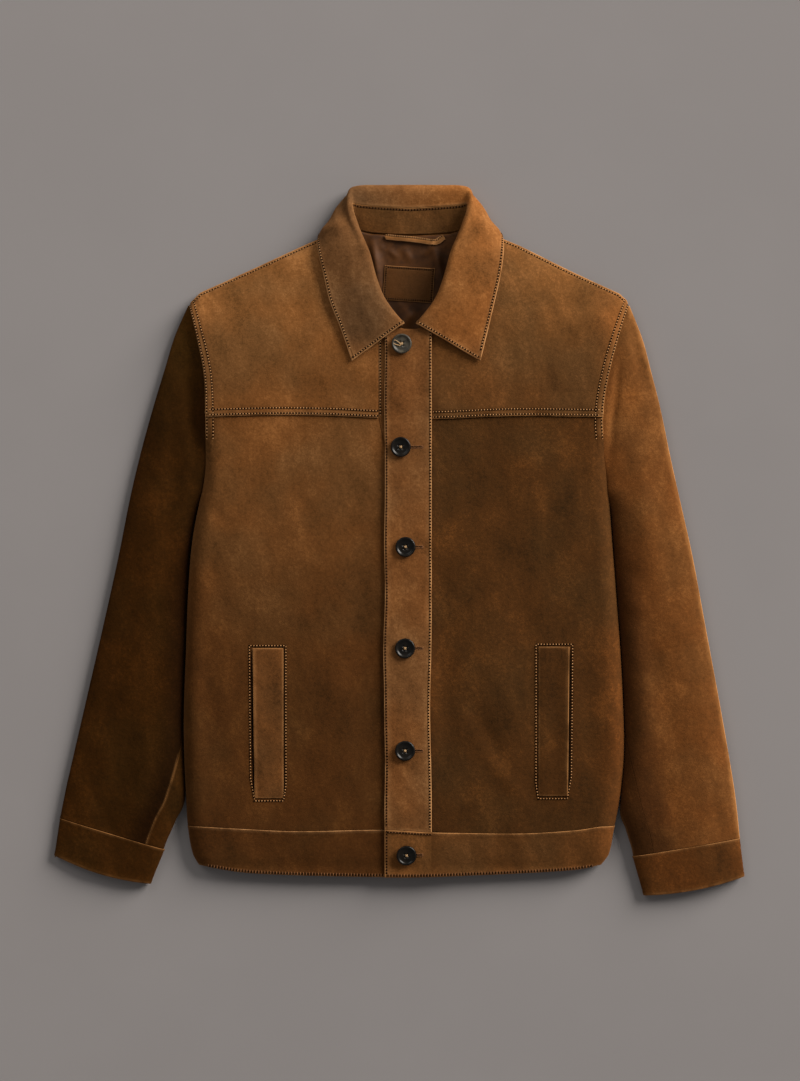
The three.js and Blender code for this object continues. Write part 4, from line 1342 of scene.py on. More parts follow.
@dataclass
class Body:
    """The fronts, yokes, back and hem bands, which meet round the wearer."""

    looks: Looks
    sewing: Sewing
    yoke_lap: float = 7.0
    yoke_fade: float = 30.0
    tuck: float = 0.6
    fine: float = 3.1
    coarse: float = 7.0
    band_thick: float = 2.2
    armhole_rows: tuple[float, float] = (1.8, 8.4)
    yoke_rows: tuple[float, float] = (2.0, 7.6)
    yoke_raise: float = 0.4
    shoulder_row: float = 3.0
    hem_row: float = 2.2
    seam_row: float = 2.0
    front_length: float = 450.0

    def yoke_lift(self, hand: Hand, x: Array, y: Array) -> Array:
        """How far the yoke's lower edge stands above the front."""
        lift = (SUEDE_THICK + 0.15) * (1 - smooth(4, self.yoke_fade, y - YOKE.smooth("y", x)))
        return lift * smooth(33, 44, x) if hand is Hand.LEFT else lift

    def armhole_edge(self) -> Edge:
        """The doubly sewn edge at the armhole seam."""
        return Edge(rows=self.armhole_rows, rise=0.5, reach=10.5, roll=0.8, fold=True, rubbed=1.0)

    def front(self, hand: Hand) -> Panel:
        """The lower front, from the side fold to its band and from the hem seam to below the yoke.

        Args:
            hand: the wearer's side.

        Returns:
            The panel.
        """
        fold, centre = hand.fold, hand.centre

        def high(x: Array) -> Array:
            """y of the front's upper edge, under the yoke."""
            return YOKE.smooth("y", x) + self.yoke_lap

        y0, y1 = hem_seam(fold(HEM_SEAM_Y)), high(fold(YOKE_Y))
        c0, c1 = hem_seam(centre(HEM_SEAM_Y)), high(centre(YOKE_Y))
        shape = coons(edge_along(fold(y0), centre(c0), hem_seam),
                      edge_along(fold(y1), centre(c1), high),
                      edge_up(y0, y1, fold), edge_up(c0, c1, centre))

        def surface(u: Array, v: Array) -> Array:
            """The front's outer face, a little lower where the yoke covers it."""
            x, y = shape(u, v)
            tuck = self.tuck * smooth(-3, 2, y - YOKE.smooth("y", x))
            return stack(x, y, body_top(x, y) - tuck)

        armhole_start = (ROWS_FROM - y0) / (y1 - y0)
        edges = {
            Side.U0: replace(self.armhole_edge(), span=(armhole_start, 2)),
            Side.V0: Edge(roll=0.6),
        }
        return Panel(f"suede_front_{hand.word}", surface, edges=edges, step=self.fine,
                     flip=hand is Hand.LEFT)

    def yoke(self, hand: Hand) -> Panel:
        """The front yoke, from its lower edge to the shoulder seam, round the neck.

        Args:
            hand: the wearer's side.

        Returns:
            The panel.
        """
        fold, centre = hand.fold, hand.centre
        row = 0 if hand is Hand.RIGHT else -1
        tip = (SHOULDER.key[row], SHOULDER.columns["y"][row])
        neck_point = NECK_CENTRE + hand.value * NECKLINE.key[-1]
        middle = float(centre(YOKE_Y))
        foot = float(YOKE.smooth("y", middle)) + GAP / 2
        corner = float(neck_y(middle))

        def low(x: Array) -> Array:
            """y of the yoke's lower edge."""
            return YOKE.smooth("y", x) + GAP / 2

        y0 = low(fold(YOKE_Y))

        def inner(v: Array) -> tuple[Array, Array]:
            """The edge at the band, and round the neck from half way up."""
            v = np.asarray(v, float)
            turn = np.sin(clamp01((v - 0.5) / 0.5) * math.pi / 2)
            x = lerp(middle, neck_point, turn)
            return x, np.where(v < 0.5, lerp(foot, corner, v / 0.5), neck_y(x))

        end = inner(1.0)

        def top(u: Array) -> tuple[Array, Array]:
            """The shoulder seam."""
            x = lerp(tip[0], end[0], u)
            return x, lerp(shoulder_y(x), end[1], smooth(0.9, 1, u))

        shape = coons(edge_along(fold(y0), middle, low), top, edge_up(y0, tip[1], fold), inner)

        def surface(u: Array, v: Array) -> Array:
            """The yoke's outer face."""
            x, y = shape(u, v)
            return stack(x, y, body_top(x, y) + self.yoke_lift(hand, x, y))

        edges = {
            Side.U0: self.armhole_edge(),
            Side.V0: Edge(rows=self.yoke_rows, rise=0.35, reach=9.5, roll=0.9, fold=True, rubbed=0.9),
            Side.V1: Edge(rows=(self.shoulder_row,), rise=0.3, reach=10.5, fold=True, rubbed=0.7),
        }
        return Panel(f"suede_yoke_{hand.word}", surface, edges=edges, step=self.fine,
                     flip=hand is Hand.LEFT)

    def back(self) -> Panel:
        """The back, one piece from the hem seam to the shoulders.

        Returns:
            The panel.
        """
        foot = BACK_SEAM_Y
        tips = [(SHOULDER.key[i], SHOULDER.columns["y"][i]) for i in (0, -1)]

        shape = coons(edge_along(side_left(foot), side_right(foot), lambda x: foot + 0 * x),
                      edge_along(tips[0][0], tips[1][0], shoulder_y),
                      edge_up(foot, tips[0][1], side_left), edge_up(foot, tips[1][1], side_right))

        def surface(u: Array, v: Array) -> Array:
            """The back's outer face."""
            x, y = shape(u, v)
            return stack(x, y, back_bottom(x, y))

        edges = dict.fromkeys((Side.U0, Side.U1, Side.V1), FOLDED)
        return Panel("suede_back", surface, edges=edges, step=self.coarse, flip=True)

    def hem_front(self, hand: Hand) -> Panel:
        """One end of the hem band over the fronts; the left end laps over the right one.

        Args:
            hand: the wearer's side.

        Returns:
            The panel.
        """
        fold = hand.fold
        centre = UNDER_PLACKET[1] if hand is Hand.RIGHT else PLACKET[0]

        def high(x: Array) -> Array:
            """y of the band's seam."""
            return HEM.smooth("seam", x) - GAP / 2

        def low(x: Array) -> Array:
            """y of the hem's edge."""
            return HEM.smooth("hem", x)

        y0, y1 = float(low(fold(HEM_SIDE_Y))), float(high(fold(HEM_SEAM_Y)))

        shape = coons(edge_along(fold(y0), centre, low), edge_along(fold(y1), centre, high),
                      edge_up(y0, y1, fold), edge_up(low(centre), high(centre), lambda y: centre + 0 * y))

        def surface(u: Array, v: Array) -> Array:
            """The band's outer face, lapping over the other end."""
            x, y = shape(u, v)
            lap = PLACKET_LIFT * (1 - smooth(*HEM_LAP, x)) if hand is Hand.LEFT else 0
            return stack(x, y, body_top(x, y) + lap)

        edges = {
            Side.U0: FOLDED,
            Side.V0: Edge(rise=0.3, reach=6.0, roll=1.0, rubbed=0.5),
            Side.V1: Edge(roll=0.5, rise=0.25, reach=3.0, rubbed=0.5),
        }
        if hand is Hand.LEFT:
            edges[Side.U1] = Edge(rows=(self.hem_row,), roll=1.0, rubbed=1.0)
        return Panel(f"suede_hem_{hand.word}", surface, thick=self.band_thick, edges=edges,
                     step=self.fine, flip=hand is Hand.LEFT)

    def hem_back(self) -> Panel:
        """The hem band across the back, a little shorter than the front.

        Returns:
            The panel.
        """
        head = BACK_SEAM_Y - GAP

        def surface(u: Array, v: Array) -> Array:
            """The band's outer face."""
            y = lerp(HEM_BACK_Y, head, v)
            x = lerp(side_left(y), side_right(y), u)
            return stack(x, y, back_bottom(x, y))

        edges = dict.fromkeys((Side.U0, Side.U1), FOLDED)
        return Panel("suede_hem_back", surface, edges=edges, step=5.0, flip=True)

    def build(self) -> None:
        """Makes the body's pieces and their rows of stitches."""
        for hand in Hand:
            front, yoke, hem = self.front(hand), self.yoke(hand), self.hem_front(hand)
            dye = self.looks.first if hand is Hand.RIGHT else self.looks.second
            top = self.looks.first if hand is Hand.RIGHT else self.looks.third
            dress(front.build(), dye, f"front_{hand.word}")
            dress(yoke.build(), top, f"yoke_{hand.word}")
            dress(hem.build(), top, f"hem_band_{hand.word}")
            start = front.edges[Side.U0].span[0]
            finish = 1 - self.yoke_lap / self.front_length
            for offset in self.armhole_rows:
                self.sewing.add(front.row(Side.U0, offset, start + 0.01, finish))
                self.sewing.add(yoke.row(Side.U0, offset, 0.02, 0.99))
            for offset in self.yoke_rows:
                self.sewing.add(yoke.row(Side.V0, offset, 0.02, 0.995).raised(self.yoke_raise))
            self.sewing.add(yoke.row(Side.V1, self.shoulder_row, 0.02, 0.97))
            self.sewing.add(hem.row(Side.V0, self.hem_row, 0.04, 0.985), kind="ticks")
            if hand is Hand.LEFT:
                self.sewing.add(hem.row(Side.U1, self.hem_row, 0.03, 0.97), kind="dull")
                self.sewing.add(hem.row(Side.V1, self.seam_row, 0.79, 0.985), kind="dull")
        dress(self.back().build(), self.looks.first, "back")
        dress(self.hem_back().build(), self.looks.first, "hem_band_back")


@dataclass
class Bands:
    """The two button bands, the upper one with its buttonholes."""

    looks: Looks
    sewing: Sewing
    lap_row: float = 2.3
    row: float = 1.8

    @staticmethod
    def upper_top(x: Array, y: Array) -> Array:
        """Height of the upper band's outer face."""
        return body_top(x, y) + PLACKET_LIFT + 0.35 * undulation(x, y, 11, 60, 22)

    def upper(self) -> Panel:
        """The upper band, whose edges wave a little.

        Returns:
            The panel.
        """
        def surface(u: Array, v: Array) -> Array:
            """The band's outer face."""
            x = lerp(*PLACKET, u)
            y = lerp(hem_seam(x), neck_y(x) - GAP, v)
            wave = 0.7 * undulation(y * 0.0 + 40 * u, y, 21, 110, 40) - 1.5 * bulge(y, -130, 48)
            x = x + wave * (1 - smooth(0, 0.3, u)) - 1.7 * bulge(y, -185, 55) * smooth(0.7, 1, u)
            return stack(x, y, self.upper_top(x, y))

        edges = {
            Side.U0: Edge(rows=(self.lap_row,), rise=0.3, reach=4.0, roll=1.1, rubbed=1.1),
            Side.U1: Edge(rows=(self.row,), rise=0.3, reach=3.5, roll=1.0, rubbed=1.0),
            Side.V0: Edge(roll=0.8, rubbed=0.5),
        }
        return Panel("suede_placket", surface, thick=DOUBLE_THICK, edges=edges, step=2.6)

    def under(self) -> Panel:
        """The lower band, of which a strip shows beside the upper one.

        Returns:
            The panel.
        """
        def surface(u: Array, v: Array) -> Array:
            """The band's outer face."""
            right = UNDER_PLACKET[1]
            y = lerp(hem_seam(right), neck_y(UNDER_PLACKET[0]) - 2, v)
            left = Hand.RIGHT.centre(y) + 2 * GAP
            x = lerp(left, right, u)
            y = np.minimum(y, neck_y(x) - GAP)
            return stack(x, y, body_top(x, y))

        edges = {
            Side.U0: Edge(rows=(self.row,), rise=0.3, reach=3.5, roll=0.9, rubbed=1.0, span=(0.78, 2)),
        }
        return Panel("suede_under_placket", surface, edges=edges, step=4.0)

    def build(self) -> None:
        """Makes both bands and their rows of stitches."""
        upper, under = self.upper(), self.under()
        dress(upper.build(), self.looks.worn, "placket")
        dress(under.build(), self.looks.first, "under_placket")
        self.sewing.add(upper.row(Side.U0, self.lap_row, 0.005, 0.99), kind="dull")
        self.sewing.add(upper.row(Side.U1, self.row, 0.005, 0.99))
        self.sewing.add(under.row(Side.U0, self.row, 0.8, 0.97))


# ---- Sleeves ----
@dataclass(frozen=True)
class Form:
    """How a sleeve lies, how it has worn, and its painted light and shade.

    Attributes:
        low: its fullness at the outer fold.
        high: its fullness at the inner fold.
        drop: how far it lies below the armhole seam.
        shaded: how far in from its forearm seam it is darkened with painted shade beside the body.
        seam: how light the forearm seam is rubbed.
        rubbed: how far the outer fold is lightened with a painted highlight, where it faces the lamp.
    """

    low: float
    high: float
    drop: float
    shaded: float
    seam: float
    rubbed: float = 0.0


@dataclass
class Section:
    """Sections of a sleeve: fold points in plan, loft, and the share that the upper piece covers."""

    outer: Array
    inner: Array
    loft: Array
    cover: Array
    form: Form

    @property
    def width(self) -> Array:
        """The distances between the folds."""
        return np.hypot(*(self.inner - self.outer).T)

    def spot(self, s: Array) -> tuple[Array, Array]:
        """x and y a share s of the way from the outer fold to the inner one."""
        return lerp(self.outer[:, 0], self.inner[:, 0], s), lerp(self.outer[:, 1], self.inner[:, 1], s)

    def top(self, s: Array, folds: list[tuple], seed: int) -> Array:
        """Points of the upper face.

        Args:
            s: shares of the way from the outer fold to the inner one.
            folds: the creases.
            seed: what picks the soft waves.

        Returns:
            Points of the face.
        """
        x, y = self.spot(s)
        rise = self.loft - FOLD_HEIGHT
        open_share = armhole(self.inner[:, 1])
        joined = np.minimum(1, open_share * 8)
        seam = np.where(open_share > 0, body_top(*self.inner.T) - FOLD_HEIGHT, 0)
        kept = clamp01((seam - self.form.drop) / (rise * self.form.high)) * joined
        outer_part = np.minimum(SLEEVE_OUTER_ROUNDING, self.width * 0.6)
        inner_part = np.minimum(SLEEVE_INNER_ROUNDING, self.width * 0.4)
        from_outer = round_rise(s * self.width / outer_part)
        from_inner = kept + (1 - kept) * round_rise((1 - s) * self.width / inner_part)
        tilt = lerp(self.form.low, self.form.high, s)
        relief = rise * tilt + fold_height(folds, x, y) + 0.5 * undulation(x, y, seed)
        return stack(x, y, FOLD_HEIGHT + GAP / 2 + relief * from_outer * from_inner)

    def bottom(self, s: Array) -> Array:
        """Points of the lower face.

        Args:
            s: shares of the way from the outer fold to the inner one.

        Returns:
            Points of the face.
        """
        x, y = self.spot(s)
        curl_outer = 1 - round_rise(s * self.width / LOWER_ROUNDING)
        curl_inner = (1 - round_rise((1 - s) * self.width / LOWER_ROUNDING)) * (1 - armhole(self.inner[:, 1]))
        return stack(x, y, (FOLD_HEIGHT - GAP / 2) * np.maximum(curl_outer, curl_inner))


@dataclass
class Sleeve:
    """A sleeve of an upper and an under piece, with its cuff."""

    hand: Hand
    table: Table
    folds: list[tuple]
    cuff_outer: tuple[float, float]
    cuff_inner: tuple[float, float]
    cuff_loft: float
    cuff_bow: float
    form: Form
    looks: Looks
    sewing: Sewing

    def section(self, v: Array) -> Section:
        """The sleeve's sections, v from 0 at the shoulder to 1 at the cuff seam.

        Args:
            v: shares along.

        Returns:
            The sections.
        """
        at = np.asarray(v, float) * (len(self.table.key) - 1)
        y = self.table.smooth("inner", at)
        tucked = ARMHOLE_TUCK * smooth(ARMPIT, ARMPIT + 30, y)
        x = self.hand.fold(y) + self.hand.value * (self.table.smooth("clear", at) - tucked)
        return Section(self.table.smooth("outer", at), stack(x, y), self.table.smooth("loft", at),
                       clamp01(self.table.smooth("cover", at)), self.form)

    def upper(self) -> Panel:
        """The upper piece, from the outer fold to the forearm seam.

        Returns:
            The panel.
        """
        def surface(u: Array, v: Array) -> Array:
            """The piece's outer face."""
            part = self.section(v)
            return part.top(u * (part.cover - GAP / part.width), self.folds, 5 + self.hand.value)

        edges = {
            # the outer fold takes the form's painted highlight
            Side.U0: Edge(fold=True, rubbed=self.form.rubbed),
            # the forearm seam's side gets painted shade beside the body
            Side.U1: Edge(roll=0.25, fold=True, rubbed=self.form.seam,
                          span=(0.74, 2), shaded=self.form.shaded, shaded_from=0.42),
            Side.V1: Edge(roll=0.5, rise=0.2, reach=3.0),
        }
        return Panel(f"suede_top_sleeve_{self.hand.word}", surface, edges=edges, step=3.1,
                     flip=self.hand is Hand.RIGHT)

    def under(self) -> Panel:
        """The under piece: over the inner fold, across the underside, to the outer fold.

        Returns:
            The panel.
        """
        steps = 90

        def surface(u: Array, v: Array) -> Array:
            """The outer face, along paths that go round each section."""
            places, which = np.unique(v, return_inverse=True)
            part = self.section(places)
            closed = 1 - smooth(ARMPIT, ARMPIT + 34, part.inner[:, 1])
            start = lerp(0.99 - 1.5 / part.width, part.cover + GAP / part.width, closed)

            def many(share: Array) -> tuple[Section, Array]:
                """Every section at every one of some shares."""
                repeat = Section(*(np.repeat(a, len(share), axis=0)
                                   for a in (part.outer, part.inner, part.loft, part.cover)), self.form)
                return repeat, np.tile(share, len(places))

            t = np.linspace(0, 1, steps // 3 + 1)
            section, share = many(t)
            top = section.top(lerp(np.repeat(start, len(t)), 1, share), self.folds, 5 + self.hand.value)
            top = top.reshape(len(places), -1, 3)
            section, share = many(1 - crowd_both(np.linspace(0, 1, steps + 1)))
            low = section.bottom(share).reshape(len(places), -1, 3)
            top = np.where(closed[:, None, None] > 0, top, low[:, :1])
            skip = np.where(closed > 0, (1 - closed) * 0.12, 0)
            paths = np.concatenate([top, low], axis=1)
            return along(paths, which, lerp(skip[which], 1, u))

        edges = {
            # painted shade reaches far in from the forearm seam on the wearer's right sleeve, which the body
            # shades
            Side.U0: Edge(roll=0.25, rubbed=self.form.seam, span=(0.74, 2),
                          shaded=150 if self.hand is Hand.LEFT else 0, shaded_from=0.34),
            Side.U1: FOLDED,
            Side.V1: CUT,
        }
        return Panel(f"suede_under_sleeve_{self.hand.word}", surface, edges=edges, step=4.2,
                     flip=self.hand is Hand.RIGHT, plan=False)

    def cuff(self) -> Panel:
        """The cuff, a closed band round the sleeve's end.

        Returns:
            The panel.
        """
        last = self.section(np.array([1.0]))

        def surface(u: Array, v: Array) -> Array:
            """The cuff's outer face, over the top for u up to 0.5 and then below."""
            outer = lerp(last.outer, np.array(self.cuff_outer), v[:, None])
            inner = lerp(last.inner, np.array(self.cuff_inner), v[:, None])
            part = Section(outer, inner, lerp(last.loft, self.cuff_loft, v), last.cover, self.form)
            s = crowd_both(np.where(u < 0.5, u * 2, 2 - u * 2))
            points = np.where((u < 0.5)[:, None], part.top(s, [], 5 + self.hand.value), part.bottom(s))
            points[:, 1] -= GAP + self.cuff_bow * v * np.sin(math.pi * s)
            return points

        edges = {
            Side.V0: Edge(roll=0.5, rise=0.2, reach=3.0, rubbed=0.45),
            Side.V1: Edge(rise=0.3, reach=6.0, roll=1.1, rubbed=0.5),
        }
        return Panel(f"suede_cuff_{self.hand.word}", surface, thick=2.2, edges=edges, step=2.6,
                     flip=self.hand is Hand.RIGHT, ring=True, plan=False)

    def build(self) -> None:
        """Makes the sleeve's pieces."""
        word, cuff = self.hand.word, self.cuff()
        # the wearer's right sleeve and its cuff take the darker dye, which partly paints their shade
        dye = self.looks.dark if self.hand is Hand.RIGHT else self.looks.warm
        dress(self.upper().build(), dye, f"top_sleeve_{word}")
        dress(self.under().build(), dye, f"under_sleeve_{word}")
        band = self.looks.dark if self.hand is Hand.RIGHT else self.looks.second
        dress(cuff.build(), band, f"cuff_{word}")


# ---- Collar ----
@dataclass
class Collar:
    """A fold-over collar: the stand rises from the neck seam, and the fall turns down over it."""

    looks: Looks
    sewing: Sewing
    samples: int = 22
    step: float = 3.0
    fall_row: float = 2.7
    stand_row: float = 2.4

    def section(self, w: Array) -> Array:
        """The collar's sections from the neck seam over the roll to the leaf's edge.

        Args:
            w: places from -1 at the wearer's right front end to 1 at the left one.

        Returns:
            For each place, a path of points.
        """
        at = (1 - np.abs(w)) * (len(COLLAR.key) - 1)
        hand = np.sign(w)

        def point(name: str, leaning: float) -> Array:
            """One of the table's points, leaned along the neck."""
            off, y, z = np.moveaxis(COLLAR.smooth(name, at), -1, 0)
            return stack(NECK_CENTRE + hand * off + leaning * COLLAR.smooth("lean", at), y, z)

        centre, radius = COLLAR.smooth("roll", at), COLLAR.smooth("radius", at)
        tilt, turn = np.radians(COLLAR.smooth("tilt", at)), np.radians(COLLAR.smooth("turn", at))
        rolled = []
        for step in (90, 45, 0, -45, -90):
            angle = tilt + math.radians(step)
            out, up = radius * np.cos(angle), radius * np.sin(angle)
            off = centre[:, 0] + out * np.cos(turn)
            y = centre[:, 1] + out * np.sin(turn)
            rolled.append(stack(NECK_CENTRE + hand * off, y, centre[:, 2] + up))
        points = np.stack([point("seam", 0), *rolled, point("over", 1 / 3), point("under", 2 / 3),
                           point("edge", 1)], axis=1)
        return self.curve(points)

    def curve(self, points: Array) -> Array:
        """A centripetal curve through each row's points.

        Args:
            points: a row of points for each path.

        Returns:
            The paths.
        """
        first, last = 2 * points[:, :1] - points[:, 1:2], 2 * points[:, -1:] - points[:, -2:-1]
        points = np.concatenate([first, points, last], axis=1)
        t = np.linspace(0, 1, self.samples, endpoint=False)[None, :, None]
        paths = []
        for i in range(1, points.shape[1] - 2):
            a, b, c, d = (points[:, i + k][:, None] for k in (-1, 0, 1, 2))
            d0, d1, d2 = (np.maximum(np.sqrt(np.linalg.norm(q - p, axis=-1, keepdims=True)), 1e-4)
                          for p, q in ((a, b), (b, c), (c, d)))
            m1 = ((b - a) / d0 - (c - a) / (d0 + d1) + (c - b) / d1) * d1
            m2 = ((c - b) / d1 - (d - b) / (d1 + d2) + (d - c) / d2) * d1
            square, cube = -3 * b + 3 * c - 2 * m1 - m2, 2 * b - 2 * c + m1 + m2
            paths.append(b + m1 * t + square * t**2 + cube * t**3)
        return np.concatenate([*paths, points[:, -2:-1]], axis=1)

    def surface(self, fall: bool) -> Surface:
        """The stand's or the fall's outer face, u across it and v round the neck.

        Args:
            fall: whether it is the fall that is wanted.

        Returns:
            The face.
        """
        def place(u: Array, v: Array) -> Array:
            """The face's points."""
            places, which = np.unique(v, return_inverse=True)
            w = 2 * places - 1
            paths = self.section(w)
            total = lengths(paths)[:, -1]
            stand = COLLAR.smooth("stand", (1 - np.abs(w)) * (len(COLLAR.key) - 1))
            start = (stand + GAP) / total if fall else 0 * stand
            end = np.ones_like(stand) if fall else (stand - GAP) / total
            points = along(paths, which, lerp(start[which], end[which], u))
            points[:, 2] = np.maximum(points[:, 2], 0)
            return points
        return place

    def fall(self) -> Panel:
        """The fall, turned down over the yokes in front and the back behind.

        Returns:
            The panel.
        """
        sewn = Edge(rows=(self.fall_row,), rise=0.3, reach=5.0, roll=1.1, rubbed=0.8)
        edges = {Side.U0: Edge(roll=0.5, rise=0.15, reach=3.0, rubbed=0.45)}
        edges |= dict.fromkeys((Side.U1, Side.V0, Side.V1), sewn)
        return Panel("suede_collar_fall", self.surface(True), thick=DOUBLE_THICK, edges=edges,
                     step=self.step, flip=True, plan=False)

    def stand(self) -> Panel:
        """The stand, inside the neck.

        Returns:
            The panel.
        """
        edges = {
            Side.U0: Edge(roll=0.6),
            Side.U1: Edge(rows=(self.stand_row,), roll=0.5, rubbed=0.3),
        }
        return Panel("suede_collar_stand", self.surface(False), edges=edges, step=self.step,
                     flip=True, plan=False)

    def build(self) -> None:
        """Makes both pieces and their rows of stitches."""
        fall, stand = self.fall(), self.stand()
        dress(fall.build(), self.looks.leaf, "collar_fall")
        dress(stand.build(), self.looks.stand, "collar_stand")
        for side, start, end in ((Side.V0, 0.03, 0.96), (Side.V1, 0.03, 0.96),
                                 (Side.U1, 0.015, 0.4), (Side.U1, 0.6, 0.985)):
            self.sewing.add(fall.row(side, self.fall_row, start, end))
        self.sewing.add(stand.row(Side.U1, self.stand_row, 0.1, 0.9), kind="dull")


# ---- Inside the back neck ----
@dataclass
class Neck:
    """What the neck shows: satin lining, a bare patch sewn to it, and the hanger loop."""

    looks: Looks
    sewing: Sewing
    lining_thick: float = 1.0
    label_middle: tuple[float, float] = (10.5, 275.5)
    label_wide: float = 54.0
    label_high: float = 37.0
    label_thick: float = 1.0
    label_askew: float = -3.7
    loop_wide: float = 6.5
    loop_thick: float = 1.6
    loop_sag: float = 1.4
    label_row: float = 1.7
    loop_row: float = 1.3
    pitch: float = 2.4

    def lining_top(self, x: Array, y: Array) -> Array:
        """Height of the lining's upper face, soft and wrinkled but flat behind the patch.

        Args:
            x: x of the places.
            y: y of the places.

        Returns:
            The heights.
        """
        across, up = np.abs(x - self.label_middle[0]), np.abs(y - self.label_middle[1])
        behind = smooth(34, 20, across) * smooth(26, 14, up)
        relief = fold_height(LINING_FOLDS, x, y) + 0.5 * undulation(x, y, 8, 50, 16)
        relief = np.maximum(relief * (1 - 0.85 * behind), -0.4)
        return back_bottom(x, y) + SUEDE_THICK + 1.2 + self.lining_thick + relief

    def lining(self) -> Panel:
        """The lining where the neck shows it, down to below the front neckline.

        Returns:
            The panel.
        """
        def surface(u: Array, v: Array) -> Array:
            """The lining's upper face."""
            off = lerp(-63, 63, u) * lerp(1, 0.98, v)
            x = NECK_CENTRE + off
            y = lerp(204, shoulder_y(x) - 0.6, v)
            return stack(x, y, self.lining_top(x, y))
        return Panel("satin_neck_lining", surface, thick=self.lining_thick, step=2.0)

    def label_spot(self, across: Array, up: Array) -> tuple[Array, Array]:
        """x and y on the patch, which is sewn on a little askew.

        Args:
            across: distances across from the patch's middle.
            up: distances up from it.

        Returns:
            x and y.
        """
        turn = math.radians(self.label_askew)
        x = self.label_middle[0] + across * math.cos(turn) - up * math.sin(turn)
        return x, self.label_middle[1] + across * math.sin(turn) + up * math.cos(turn)

    def label(self) -> Panel:
        """The bare patch.

        Returns:
            The panel.
        """
        def surface(u: Array, v: Array) -> Array:
            """The patch's upper face."""
            x, y = self.label_spot((u - 0.5) * self.label_wide, (v - 0.5) * self.label_high)
            return stack(x, y, self.lining_top(x, y) + 0.25 + self.label_thick)
        edges = dict.fromkeys(Side, Edge(rows=(self.label_row,), roll=0.5, rubbed=0.5))
        return Panel("patch_label", surface, thick=self.label_thick, edges=edges, step=2.0)

    def loop(self) -> Panel:
        """The hanger loop: a narrow folded strap that hangs from the neck seam.

        Returns:
            The panel.
        """
        def surface(u: Array, v: Array) -> Array:
            """The strap's upper face, along its route."""
            at = v * (len(LOOP_ROUTE.key) - 1)
            h = 0.01
            middle = LOOP_ROUTE.smooth("place", at)
            ahead = unit(LOOP_ROUTE.smooth("place", at + h) - LOOP_ROUTE.smooth("place", at - h))
            side = (u - 0.5) * self.loop_wide * (0.3 + 0.7 * smooth(0, 0.06, v))
            x, y = middle[:, 0] + side * ahead[:, 1], middle[:, 1] - side * ahead[:, 0]
            crown = 0.5 * (1 - (2 * u - 1) ** 2)
            lift = self.loop_thick + self.loop_sag * np.sin(math.pi * v) + crown
            return stack(x, y, self.lining_top(x, np.minimum(y, 322)) + 0.3 + lift)
        edges = {
            Side.U0: Edge(roll=0.7, rows=(self.loop_row,), rubbed=0.7),
            Side.U1: Edge(roll=0.7, rubbed=1.0),
        }
        return Panel("suede_hanger_loop", surface, thick=self.loop_thick, edges=edges, step=1.2)

    def build(self) -> None:
        """Makes the pieces and their rows of stitches."""
        label, loop = self.label(), self.loop()
        strap = dress(loop.build(None), self.looks.first, "hanger_loop")
        dress(self.lining().build((strap,)), self.looks.lining, "neck_lining", slot="lining")
        dress(label.build(), self.looks.label, "label_patch", slot="label")
        for side in Side:
            self.sewing.add(label.row(side, self.label_row, 0.03, 0.97), self.pitch, kind="dull")
        self.sewing.add(loop.row(Side.U0, self.loop_row, 0.03, 0.97), self.pitch)


